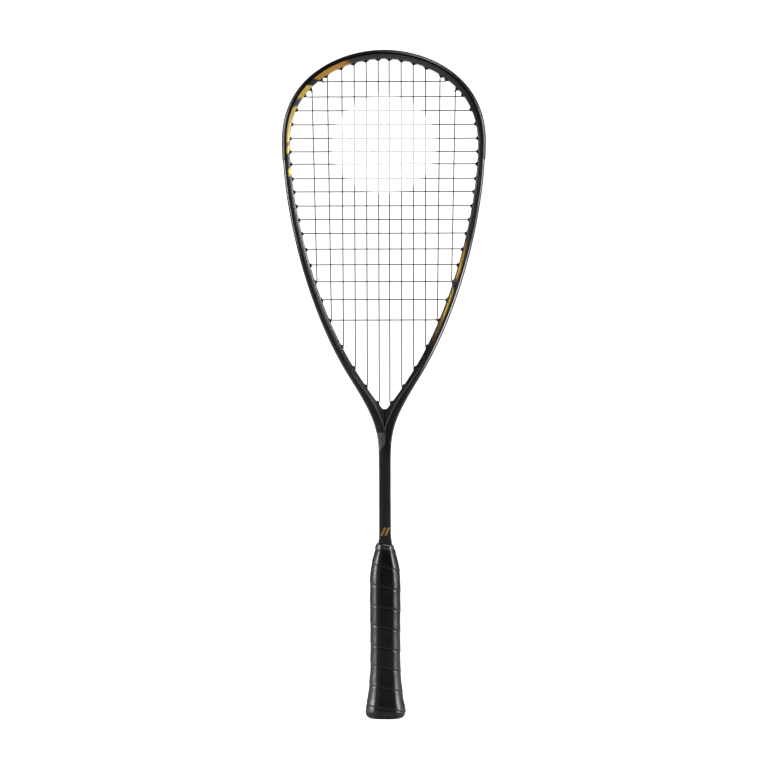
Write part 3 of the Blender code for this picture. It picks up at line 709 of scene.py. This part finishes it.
def shell_stations():
    """Distances of the frame's sections, closer where it bends or steps."""
    hoop = [k * HOOP_STEP for k in range(int(GUARD_END_S / HOOP_STEP) + 1)]
    step = [RECESS_END_S[0], sum(RECESS_END_S) / 2, RECESS_END_S[1]]
    flank = list(np.linspace(STRIP_START_S, 430.0, 100))
    throat = list(np.linspace(431.5, 480.0, 44))
    fade = list(np.linspace(482.0, STEM_S, 14))
    widen = list(np.linspace(FLARE_TOP_Z, FLARE_FOOT_Z, 9))
    heights = list(SHAFT_Z) + widen + [SHAFT_FOOT_Z]
    return hoop + step + flank + throat + fade + [STEM_S + SHAFT_TOP[1] - z for z in heights]


def build_frame():
    bm = bmesh.new()
    along = bm.verts.layers.float.new("rail_s")
    inside = bm.verts.layers.float.new("rail_in")
    facet = bm.verts.layers.float.new("rail_edge")
    rings = []
    for s in shell_stations():
        x, z, nx, nz = outline_at(s)
        half = rail_corners(s)
        width = rail_width(s)
        ridge = half[RIDGE_CORNER][0]
        corners = [(n, -y, r) for n, y, r in reversed(half)] + half
        ring = []
        for inward, y in rounded(corners):
            px = x + inward * nx
            pz = z + inward * nz
            pz += lift_crotch(px, pz) * smooth((width - 3.0, width - 1.0), inward)
            vert = bm.verts.new(Vector((px, y, pz)) * MM)
            vert[along] = s
            vert[inside] = inward
            vert[facet] = (inward - ridge) / 10.0
            ring.append(vert)
        rings.append(ring)
    loft(bm, rings)
    bm.faces.new(rings[-1])
    mirror_half(bm)
    finish_piece("frame_shell", bm, PAINT, ["frame"], 50)


# ---------------------------------------------------------------- grommets

def nose_tip(s):
    """Inward distance of the tube's tip at s."""
    short = smooth(LOW_PORT_S, abs(s))
    return rail_width(s) + TUBE_PROUD + (LOW_PROUD - TUBE_PROUD) * short


def mouth(s, lane=0.0):
    """Where a string bends as it leaves its tube."""
    short = smooth(LOW_PORT_S, abs(s))
    return rail(s, nose_tip(s) + BEND + (LOW_BEND - BEND) * short, lane)


def find_port(low, high, target, coord):
    """The distance s whose string leaves the tube at the given X or Z (coord 0 or 2)."""

    def leaves(s):
        return mouth(s)[coord] / MM

    rising = leaves(high) > leaves(low)
    for _ in range(40):
        middle = (low + high) / 2
        if (leaves(middle) < target) == rising:
            low = middle
        else:
            high = middle
    return low


TOP_PORTS = [find_port(0.0, 130.0, x, 0) for x in MAIN_TOP_X]
CROSS_PORTS = [find_port(40.0, 430.0, z, 2) for z in CROSS_Z]
SHARED_PORTS = [CROSS_PORTS[row] for row in SHARED_ROWS]
OWN_FOOT_PORTS = [find_port(250.0, 457.0, x, 0) for x in MAIN_FOOT_X]
FOOT_PORTS = OWN_FOOT_PORTS + SHARED_PORTS[::-1]
ALL_PORTS = sorted(TOP_PORTS + OWN_FOOT_PORTS + CROSS_PORTS)
TUBE_SIDES = 20
# Noses low on the head are fatter, and those near the top flare sideways.
LOW_FAT = 0.4
TOP_FLARE = 1.7
TOP_FLARE_S = (105.0, 60.0)


def lane_of(s):
    """How far a string stands off its hole's axis in depth."""
    return LANE if abs(s) in SHARED_PORTS else 0.0


def turned(bm, s, outline):
    """A shape about the tube's axis at s, from (inward, radius, extra half length) levels."""
    stretch = lane_of(s)
    axis = (rail(s, 1.0, 0.0) - rail(s, 0.0, 0.0)).normalized()
    depth = Vector((0, 1, 0))
    across = depth.cross(axis)
    rings = []
    for inward, radius, extra in outline:
        centre = rail(s, inward, 0.0)
        ring = []
        for k in range(TUBE_SIDES):
            turn = math.tau * k / TUBE_SIDES
            arm = depth * (radius + stretch) * math.cos(turn)
            arm += across * (radius + extra) * math.sin(turn)
            ring.append(centre + arm * MM)
        rings.append(ring_of(bm, ring))
    loft(bm, rings)
    return rings


def add_grommet(bm, s):
    """Tube through the rail, with a flared foot inside the head and a countersunk outer mouth."""
    wall = rail_width(s)
    tip = nose_tip(s)
    proud = tip - wall
    fat = LOW_FAT * smooth(LOW_PORT_S, abs(s))
    flare = TOP_FLARE * smooth(TOP_FLARE_S, abs(s))
    outline = (
        (STRIP_TOP - 0.25, 1.15, 0), (STRIP_TOP - 0.3, 1.35, 0), (STRIP_TOP - 0.15, 1.6, 0),
        (STRIP_TOP + 0.3, 1.75, 0), (wall - 0.8, 1.75, 0), (wall - 0.1, 2.45 + fat, flare),
        (wall + 0.14 * proud, 2.4 + fat, flare * 0.8),
        (wall + 0.34 * proud, 2.0 + fat, flare * 0.42),
        (wall + 0.62 * proud, 1.65 + fat, flare * 0.14), (tip - 0.3, 1.42 + fat, 0),
        (tip - 0.06, 1.25 + fat * 0.8, 0), (tip, 1.0 + fat * 0.5, 0), (tip - 0.1, 0.84, 0),
        (tip - 0.6, 0.78, 0), (STRIP_TOP + 0.6, 0.78, 0), (STRIP_TOP, 0.9, 0),
    )
    rings = turned(bm, s, outline)
    loft(bm, [rings[-1], rings[0]])


def swept(bm, stations, corners):
    profile = rounded(corners, 3)
    rings = [ring_of(bm, [rail(s, n, y) for n, y in profile]) for s in stations]
    loft(bm, rings)
    bm.faces.new(rings[0])
    bm.faces.new(rings[-1])


def build_head_guard():
    half = (
        (STRIP_TOP, 2.3, 0.4), (-0.6, 2.5, 0.45), (-0.6, 4.6, 1.2), (0.7, 8.0, 1.0),
        (3.0, 9.5, 0.25), (2.9, 9.0, 0.25), (1.85, 7.4, 0.5), (0.55, 4.75, 0.5),
        (0.55, 3.1, 0.3), (STRIP_UNDER, STRIP_HALF, 0.3),
    )
    corners = list(half) + [(n, -y, r) for n, y, r in reversed(half)]
    bm = bmesh.new()
    swept(bm, np.linspace(-GUARD_END_S, GUARD_END_S, 141), corners)
    for s in ALL_PORTS:
        if s < GUARD_END_S:
            add_grommet(bm, s)
            add_grommet(bm, -s)
    finish_piece("head_guard_detail", bm, GUARD_NYLON, ["head_guard"])


def build_strip(side, word):
    corners = (
        (STRIP_TOP + 0.25, 0.0, 0.3), (STRIP_TOP, STRIP_HALF * 0.55, 0.4),
        (STRIP_TOP, STRIP_HALF, 0.2), (STRIP_UNDER, STRIP_HALF, 0.2),
        (STRIP_UNDER, -STRIP_HALF, 0.2), (STRIP_TOP, -STRIP_HALF, 0.2),
        (STRIP_TOP, -STRIP_HALF * 0.55, 0.4),
    )
    bm = bmesh.new()
    stations = [side * s for s in np.linspace(STRIP_START_S, STRIP_END_S, 110)]
    swept(bm, stations, corners)
    for s in ALL_PORTS:
        if s > GUARD_END_S:
            add_grommet(bm, side * s)
    node = "grommet_strip_" + word
    finish_piece(node + "_detail", bm, GROMMET_NYLON, [node])


# ---------------------------------------------------------------- strings

CORD_SIDES = 10
WEAVE_STEPS = 8
SOFT_REACH = 0.9
SOFT_STEPS = 5
SOFT_SHARE = 0.45
# A turn sharper than this is a corner to keep.
SHARP_TURN = math.radians(168)
NO_LENGTH = 1e-7
# A string weaves only where it is this far from its own mouth.
MAIN_MARGIN = 2.5
CROSS_MARGIN = 1.0
LOOP_STEP = 3.0
TAIL_IN = 1.0
KNOT_TURNS = 2.25
KNOT_POINTS = 29
KNOT_LIFT = (0.05, 1.45)
KNOT_R = 0.84
KNOT_CORD_R = 0.33


def softened(points, reach):
    """Points with every corner eased over the given reach."""
    eased = [points[0]]
    for back, here, ahead in zip(points, points[1:], points[2:]):
        before = back - here
        after = ahead - here
        if before.length < NO_LENGTH or after.length < NO_LENGTH:
            continue
        if before.angle(after) > SHARP_TURN:
            eased.append(here)
            continue
        start = here + before.normalized() * min(reach, before.length * SOFT_SHARE)
        end = here + after.normalized() * min(reach, after.length * SOFT_SHARE)
        for i in range(SOFT_STEPS):
            t = i / (SOFT_STEPS - 1)
            eased.append(start * (1 - t) ** 2 + here * (2 * t * (1 - t)) + end * t**2)
    eased.append(points[-1])
    return eased


def cord_mesh(bm, points, radius):
    """Round cord along a path, closed at both ends."""
    depth = Vector((0, 1, 0))
    rings = []
    last_front = depth
    for k, point in enumerate(points):
        along = points[min(k + 1, len(points) - 1)] - points[max(k - 1, 0)]
        along.normalize()
        front = last_front - along * last_front.dot(along)
        front.normalize()
        last_front = front
        across = along.cross(front)
        ring = []
        for i in range(CORD_SIDES):
            turn = math.tau * i / CORD_SIDES
            ring.append(point + (front * math.cos(turn) + across * math.sin(turn)) * radius * MM)
        rings.append(ring_of(bm, ring))
    loft(bm, rings)
    bm.faces.new(rings[0])
    bm.faces.new(rings[-1])


def knot_mesh(bm, start, along):
    """Two tight turns of the string's end round the string, its tail turned to the back."""
    side = Vector((0, 1, 0)).cross(along).normalized()
    depth = Vector((0, 1, 0))
    points = []
    for k in range(KNOT_POINTS):
        share = k / (KNOT_POINTS - 1)
        turn = math.tau * KNOT_TURNS * share
        lift = KNOT_LIFT[0] + KNOT_LIFT[1] * share
        arm = side * math.cos(turn) + depth * math.sin(turn)
        points.append(start + along * lift * MM + arm * KNOT_R * MM)
    points.append(points[-1] + (depth * 0.9 + along * 0.3) * MM)
    points.append(points[-1] + (depth * 1.0 + along * 0.2) * MM)
    cord_mesh(bm, points, KNOT_CORD_R)


def loop(s_from, s_to, track):
    """Run of string along the outer groove, from one hole to the next."""
    step = LOOP_LEAD if s_to > s_from else -LOOP_LEAD
    begin = s_from + step
    end = s_to - step
    count = max(2, math.ceil(abs(end - begin) / LOOP_STEP))
    return [rail(begin + (end - begin) * k / count, LOOP_IN, track) for k in range(count + 1)]


def crossing_y(main, cross):
    return WEAVE if (main + cross) % 2 == 0 else -WEAVE


MAINS = []
for column in range(6):
    for hand in (-1, 1):
        MAINS.append((hand * TOP_PORTS[column], hand * FOOT_PORTS[column]))
MAINS.sort(key=lambda ports: mouth(ports[0]).x)


def main_crossings(index):
    """Weave points of one main string, from its top mouth to its foot."""
    top = mouth(MAINS[index][0])
    foot = mouth(MAINS[index][1])
    margin = MAIN_MARGIN * MM
    points = []
    for row, height in enumerate(CROSS_Z):
        z = height * MM
        share = (top.z - z) / (top.z - foot.z)
        x = top.x + (foot.x - top.x) * share
        if foot.z + margin < z < top.z - margin:
            points.append(Vector((x, crossing_y(index, row) * MM, z)))
    return points


def cross_crossings(row):
    """Weave points of one cross string, from left to right."""
    reach = mouth(CROSS_PORTS[row]).x - CROSS_MARGIN * MM
    points = []
    for index in range(len(MAINS)):
        for point in main_crossings(index):
            if abs(point.z - CROSS_Z[row] * MM) < 1e-6 and abs(point.x) < reach:
                points.append(Vector((point.x, -point.y, point.z)))
    return points


def waved(start, crossings, end):
    """Bed run through its crossings, rising and falling in smooth waves."""
    knots = [start] + crossings + [end]
    points = []
    for low, high in zip(knots, knots[1:]):
        for k in range(WEAVE_STEPS):
            t = k / WEAVE_STEPS
            point = low.lerp(high, t)
            ease = (1 - math.cos(math.pi * t)) / 2
            point.y = low.y + (high.y - low.y) * ease
            points.append(point)
    return points + [end]


def lead_in(s, lane):
    return [rail(s, inward, lane) for inward in (LOOP_IN, STRIP_TOP + 1.6, rail_width(s))]


def string_path(runs, track):
    """One length of string through all its runs, each (first port, last port, crossings)."""
    path = []
    ties = []
    for number, (first, final, crossings) in enumerate(runs):
        first_lane = math.copysign(lane_of(first), track)
        final_lane = math.copysign(lane_of(final), track)
        start = mouth(first, first_lane)
        end = mouth(final, final_lane)
        if number == 0:
            path.append(rail(first, rail_width(first) - TAIL_IN, first_lane))
            ties.append((start, (end - start).normalized()))
        else:
            path += lead_in(first, first_lane)
        path += waved(start, crossings, end)
        if number == len(runs) - 1:
            path.append(rail(final, rail_width(final) - TAIL_IN, final_lane))
            ties.append((end, (start - end).normalized()))
        else:
            path += lead_in(final, final_lane)[::-1]
            path += loop(final, runs[number + 1][0], track)
    return path, ties


def build_strings():
    main_runs = []
    for index, (top, foot) in enumerate(MAINS):
        crossings = main_crossings(index)
        if index % 2 == 0:
            main_runs.append((top, foot, crossings))
        else:
            main_runs.append((foot, top, crossings[::-1]))
    cross_runs = []
    for row, port in enumerate(CROSS_PORTS):
        crossings = cross_crossings(row)
        if row % 2 == 0:
            cross_runs.append((-port, port, crossings))
        else:
            cross_runs.append((port, -port, crossings[::-1]))
    for name, runs, track in (
        ("main_string", main_runs, LOOP_TRACK), ("cross_string", cross_runs, -LOOP_TRACK),
    ):
        bm = bmesh.new()
        path, ties = string_path(runs, track)
        cord_mesh(bm, softened(path, SOFT_REACH * MM), STRING_R)
        for start, along in ties:
            knot_mesh(bm, start, along)
        finish_piece(name + "_round", bm, STRING, [name], 60)


# ---------------------------------------------------------------- handle

def full_round(quarter):
    first = list(quarter)
    upper = first + [(-x, y) for x, y in reversed(first)]
    return upper + [(-x, -y) for x, y in upper]


def resampled(points, count):
    """Equal steps round a closed outline."""
    closed = np.array(points + points[:1])
    steps = np.linalg.norm(np.diff(closed, axis=0), axis=1)
    travel = np.concatenate([[0.0], np.cumsum(steps)])
    stops = np.linspace(0.0, travel[-1], count, endpoint=False)
    xs = np.interp(stops, travel, closed[:, 0])
    ys = np.interp(stops, travel, closed[:, 1])
    return list(zip(xs.tolist(), ys.tolist()))


HANDLE_SIDES = 112
HANDLE_CORNER_R = 0.20
HANDLE_ROUND = resampled(
    rounded([(x, y, HANDLE_CORNER_R) for x, y in full_round(HANDLE_QUARTER)], 6), HANDLE_SIDES
)
SIZE_EASE = 2.5
# Below this height the grip's table is used as it stands.
PLAIN_BELOW_Z = 9.0


def table_at(table, z):
    heights = [row[0] for row in table]
    return tuple(float(np.interp(z, heights, [row[k] for row in table])) for k in (1, 2))


def handle_size(z):
    """Half sizes of the grip, with the corners of its table eased."""
    if z < PLAIN_BELOW_Z:
        return table_at(GRIP_OUTER, z)
    samples = [table_at(GRIP_OUTER, z + d) for d in (-SIZE_EASE, 0.0, SIZE_EASE)]
    return tuple((samples[0][k] + 2 * samples[1][k] + samples[2][k]) / 4 for k in (0, 1))


WRAP_PITCH = 20.6
WRAP_SHIFT = 3.5
GRIP_LOW = 2.3
GRIP_HIGH = 172.2
LAP_HEIGHT = 0.40
SEAM_DEPTH = 0.38
# Shares of the tape's width at which its turn has a row of points.
ROWS = (
    0.0, 0.012, 0.03, 0.06, 0.11, 0.18, 0.26, 0.34, 0.42, 0.5, 0.58, 0.66, 0.74, 0.82, 0.89, 0.94,
    0.968, 0.985,
)
RIM_INSETS = ((GRIP_LOW, 1.7), (GRIP_HIGH, 1.6))


def lap_offset(share):
    """Height of the tape over the handle across one turn: a raised lip, then down to the seam."""
    lip = smooth((-0.02, 0.035), share)
    fall = 1.0 - 0.75 * smooth((0.05, 0.7), share)
    dip = smooth((0.93, 0.99), share)
    return LAP_HEIGHT * (fall * lip - 0.5) - SEAM_DEPTH * dip * 0.6 - 0.25 * (1 - lip)


def wrinkle(x, y, z, share):
    """Small creases that run out from the lapped edge, stronger at the flare."""
    flare = 1.0 + 1.3 * smooth((75.0, 30.0), z)
    near_lip = 0.35 + 0.65 * math.exp(-share / 0.22)
    fold = noise.noise(Vector((x * 0.75, y * 0.75, z * 0.16 + x * 0.12)))
    soft = noise.noise(Vector((x * 0.16, y * 0.16, z * 0.10 + 40.0)))
    return 0.10 * flare * near_lip * fold + 0.10 * soft


def build_grip():
    """The wound tape as one sheet, cut level at both ends, with its rims turned in."""
    bm = bmesh.new()
    share_layer = bm.verts.layers.float.new("wrap_share")
    turns = math.ceil((GRIP_HIGH - GRIP_LOW) / WRAP_PITCH) + 3
    columns = []
    for step in range(turns * HANDLE_SIDES + 1):
        x, y = HANDLE_ROUND[step % HANDLE_SIDES]
        start = GRIP_LOW - 1.5 * WRAP_PITCH + WRAP_SHIFT + step / HANDLE_SIDES * WRAP_PITCH
        column = []
        for share in ROWS:
            z = start + share * WRAP_PITCH
            half_x, half_y = handle_size(min(max(z, GRIP_LOW), GRIP_HIGH))
            px = -x * half_x
            py = y * half_y
            end_ease = 1.0 - 1.2 * (1 - smooth((GRIP_LOW - 0.4, GRIP_LOW + 1.6), z))
            lift = (lap_offset(share) + wrinkle(px, py, z, share)) * end_ease
            size = math.hypot(px, py)
            vert = bm.verts.new(Vector((px * (1 + lift / size), py * (1 + lift / size), z)) * MM)
            vert[share_layer] = share
            column.append(vert)
        columns.append(column)
    for step in range(len(columns) - 1):
        column = columns[step]
        beside = columns[step + 1]
        for a in range(len(ROWS) - 1):
            bm.faces.new((column[a], beside[a], beside[a + 1], column[a + 1]))
        if step + HANDLE_SIDES + 1 < len(columns):
            above = columns[step + HANDLE_SIDES]
            next_above = columns[step + HANDLE_SIDES + 1]
            bm.faces.new((column[-1], beside[-1], next_above[0], above[0]))
    for level, normal in ((GRIP_LOW, -1), (GRIP_HIGH, 1)):
        geom = bm.verts[:] + bm.edges[:] + bm.faces[:]
        bmesh.ops.bisect_plane(
            bm, geom=geom, dist=1e-7, plane_co=(0, 0, level * MM), plane_no=(0, 0, normal),
            clear_outer=True,
        )
    bmesh.ops.remove_doubles(bm, verts=bm.verts[:], dist=1e-6)
    for level, inset in RIM_INSETS:
        rim = [edge for edge in bm.edges if edge.is_boundary
               and all(abs(vert.co.z - level * MM) < 1e-6 for vert in edge.verts)]
        grown = bmesh.ops.extrude_edge_only(bm, edges=rim)["geom"]
        for item in grown:
            if isinstance(item, bmesh.types.BMVert):
                size = math.hypot(item.co.x, item.co.y)
                shrink = (size - inset * MM) / size
                item.co.x *= shrink
                item.co.y *= shrink
    finish_piece("grip_wrap", bm, GRIP, ["grip_tape"], 60)


def handle_ring(bm, z, half_x, half_y, tilt=0.0):
    return ring_of(bm, [
        Vector((x * half_x, y * half_y, z - tilt * x * half_x)) * MM for x, y in HANDLE_ROUND
    ])


def build_finishing_tape():
    """Two turns of tape over the grip's thin end, wound slightly askew."""
    levels = (
        (172.4, 8.3, 10.5, 0.0), (172.35, 9.6, 12.0, 0.02), (172.5, 10.35, 12.75, 0.04),
        (172.9, 10.5, 12.9, 0.08), (174.3, 10.25, 12.7, 0.16), (174.9, 10.0, 12.45, 0.18),
        (175.1, 9.65, 12.15, 0.18), (176.4, 9.4, 11.9, 0.14), (177.3, 9.2, 11.7, 0.12),
        (178.2, 8.6, 11.05, 0.12), (178.4, 8.2, 10.6, 0.12), (178.2, 7.95, 10.15, 0.12),
        (174.0, 8.1, 10.3, 0.05),
    )
    bm = bmesh.new()
    rings = [handle_ring(bm, z, half_x, half_y, tilt) for z, half_x, half_y, tilt in levels]
    loft(bm, rings + rings[:1])
    finish_piece("finishing_tape_turns", bm, TAPE, ["finishing_tape"], 35)


def build_butt_cap():
    """Flared cap with a rounded rim, a shallow oval panel below and a raised ring inside it."""
    levels = (
        (0.9, 9.2, 7.6), (0.75, 9.6, 8.0), (0.35, 9.8, 8.2), (0.35, 10.6, 9.0),
        (0.75, 10.8, 9.2), (0.9, 11.2, 9.6), (0.9, 12.8, 11.0), (0.7, 13.3, 11.5),
        (0.15, 13.6, 11.8), (0.0, 14.0, 12.1), (0.0, 15.6, 13.5), (0.15, 16.3, 14.2),
        (0.6, 17.3, 15.1), (1.2, 18.1, 15.9), (1.75, 18.5, 16.3), (2.0, 18.4, 16.2),
        (2.05, 17.3, 15.1), (3.6, 18.0, 15.7), (6.7, 18.8, 16.4), (11.8, 18.2, 15.9),
        (20.0, 16.5, 14.5), (36.0, 14.7, 13.1), (36.0, 13.95, 12.45), (4.0, 13.95, 12.45),
    )
    bm = bmesh.new()
    rings = [handle_ring(bm, *level) for level in levels]
    loft(bm, rings)
    bm.faces.new(rings[0])
    bm.faces.new(rings[-1])
    finish_piece("butt_cap_moulding", bm, CAP, ["butt_cap"], 35)


build_frame()
build_head_guard()
build_strip(-1, "left")
build_strip(1, "right")
build_strings()
build_grip()
build_finishing_tape()
build_butt_cap()

# ---------------------------------------------------------------- studio

LOW, HIGH = CAD_BOX
HEIGHT = HIGH[2] - LOW[2]
# The racket takes this share of the picture's height.
RACKET_SHARE = 167 / 192
CAMERA_DISTANCE = 3.2
SENSOR = 36.0
EYE_Z = LOW[2] + HEIGHT * 0.5
CAMERA_ROLL = math.radians(0.17)
CAMERA_X = -0.0006
WORLD_STRENGTH = 0.085
# Name, place, size, power in watts and spread in degrees.
LIGHTS = (
    ("left_softbox", (-1.90, 0.07, 0.75), (0.28, 1.3), 9, 60),
    ("right_softbox", (1.90, -0.03, 0.75), (0.28, 1.3), 9, 60),
    ("front_softbox", (-1.6, -3.0, 0.9), (0.8, 0.8), 0.22, 20),
    ("top_softbox", (0.6, -0.3, 2.3), (0.6, 0.4), 2, 50),
)
# The cyclorama's profile: where the floor starts, where it bends up, how deep and how high.
FLOOR_HALF = 5.0
FLOOR_FRONT = -5.0
BEND_Y = 3.4
BEND_R = 1.2
WALL_TOP = 4.0
BEND_STEPS = 16
# Glow of the cyclorama, from its plain parts to the wall behind the racket.
GLOW = (0.08, 1.1)
WALL_Y = (1.0, 2.5)
WALL_X = (1.15, 1.9)
SHEEN_FACING = (0.80, 0.90)
SHEEN_Y = (-0.9, -0.5)
SHEEN_X = (0.55, 0.75)
SHEEN_WIDENS = -0.13


def studio_material():
    """Pale matt cyclorama. It glows behind the racket, and toward grazing views of the floor."""
    shader = Shader("studio_white")
    x, y, _ = shader.split(shader.place())
    across = shader.math("ABSOLUTE", x)
    wall = shader.remap(y, *WALL_Y, 0.0, 1.0)
    middle = shader.remap(across, *WALL_X, 1.0, 0.0)
    facing = shader.node("ShaderNodeLayerWeight", Blend=0.5).outputs["Facing"]
    grazing = shader.remap(facing, *SHEEN_FACING, 0.0, 1.0)
    behind = shader.remap(y, *SHEEN_Y, 0.0, 1.0)
    aside = shader.math("MULTIPLY_ADD", y, SHEEN_WIDENS, across)
    sheen = shader.product(grazing, behind, shader.remap(aside, *SHEEN_X, 1.0, 0.0))
    glow = shader.math("MAXIMUM", shader.product(wall, middle), sheen)
    cloud = shader.noise(0.7, 2.0)
    base = shader.mix(cloud, (0.66, 0.66, 0.66, 1.0), (0.70, 0.70, 0.70, 1.0))
    shader.main.inputs["Emission Color"].default_value = (1.0, 1.0, 1.0, 1.0)
    strength = shader.remap(glow, 0.0, 1.0, *GLOW)
    return shader.use(Base_Color=base, Roughness=0.9, Emission_Strength=strength)


def studio_floor():
    """A floor that curves up into a wall behind."""
    bm = bmesh.new()
    profile = [(FLOOR_FRONT, 0.0), (BEND_Y, 0.0)]
    for k in range(1, BEND_STEPS + 1):
        turn = math.radians(90 * k / BEND_STEPS)
        profile.append((BEND_Y + BEND_R * math.sin(turn), BEND_R * (1 - math.cos(turn))))
    profile.append((BEND_Y + BEND_R, WALL_TOP))
    rings = [
        ring_of(bm, [Vector((x, y, z + LOW[2])) for y, z in profile])
        for x in (-FLOOR_HALF, FLOOR_HALF)
    ]
    loft(bm, rings, closed=False)
    bmesh.ops.recalc_face_normals(bm, faces=bm.faces[:])
    mesh = bpy.data.meshes.new("studio_floor")
    bm.to_mesh(mesh)
    bm.free()
    mesh.shade_smooth()
    mesh.materials.append(studio_material())
    floor = bpy.data.objects.new("studio_floor", mesh)
    bpy.context.scene.collection.objects.link(floor)


def area_light(name, place, size, power, spread):
    """A softbox turned to the racket's middle."""
    light = bpy.data.lights.new(name, "AREA")
    light.shape = "RECTANGLE"
    light.size, light.size_y = size
    light.energy = power
    light.spread = math.radians(spread)
    obj = bpy.data.objects.new(name, light)
    obj.location = place
    aim = Vector((0.0, 0.0, EYE_Z)) - Vector(place)
    obj.rotation_euler = aim.to_track_quat("-Z", "Y").to_euler()
    obj.visible_camera = False
    bpy.context.scene.collection.objects.link(obj)


def studio_camera():
    camera = bpy.data.cameras.new("camera")
    camera.sensor_width = SENSOR
    camera.lens = SENSOR * CAMERA_DISTANCE * RACKET_SHARE / HEIGHT
    camera.clip_end = 30.0
    obj = bpy.data.objects.new("camera", camera)
    obj.location = (CAMERA_X, -CAMERA_DISTANCE, EYE_Z)
    obj.rotation_euler = (math.radians(90), CAMERA_ROLL, 0.0)
    bpy.context.scene.collection.objects.link(obj)
    bpy.context.scene.camera = obj


studio_floor()
for light_settings in LIGHTS:
    area_light(*light_settings)
studio_camera()

world = bpy.data.worlds.new("studio")
world.use_nodes = True
world.node_tree.nodes["Background"].inputs["Color"].default_value = (1.0, 1.0, 1.0, 1.0)
world.node_tree.nodes["Background"].inputs["Strength"].default_value = WORLD_STRENGTH
bpy.context.scene.world = world
bpy.context.scene.view_settings.view_transform = "Standard"
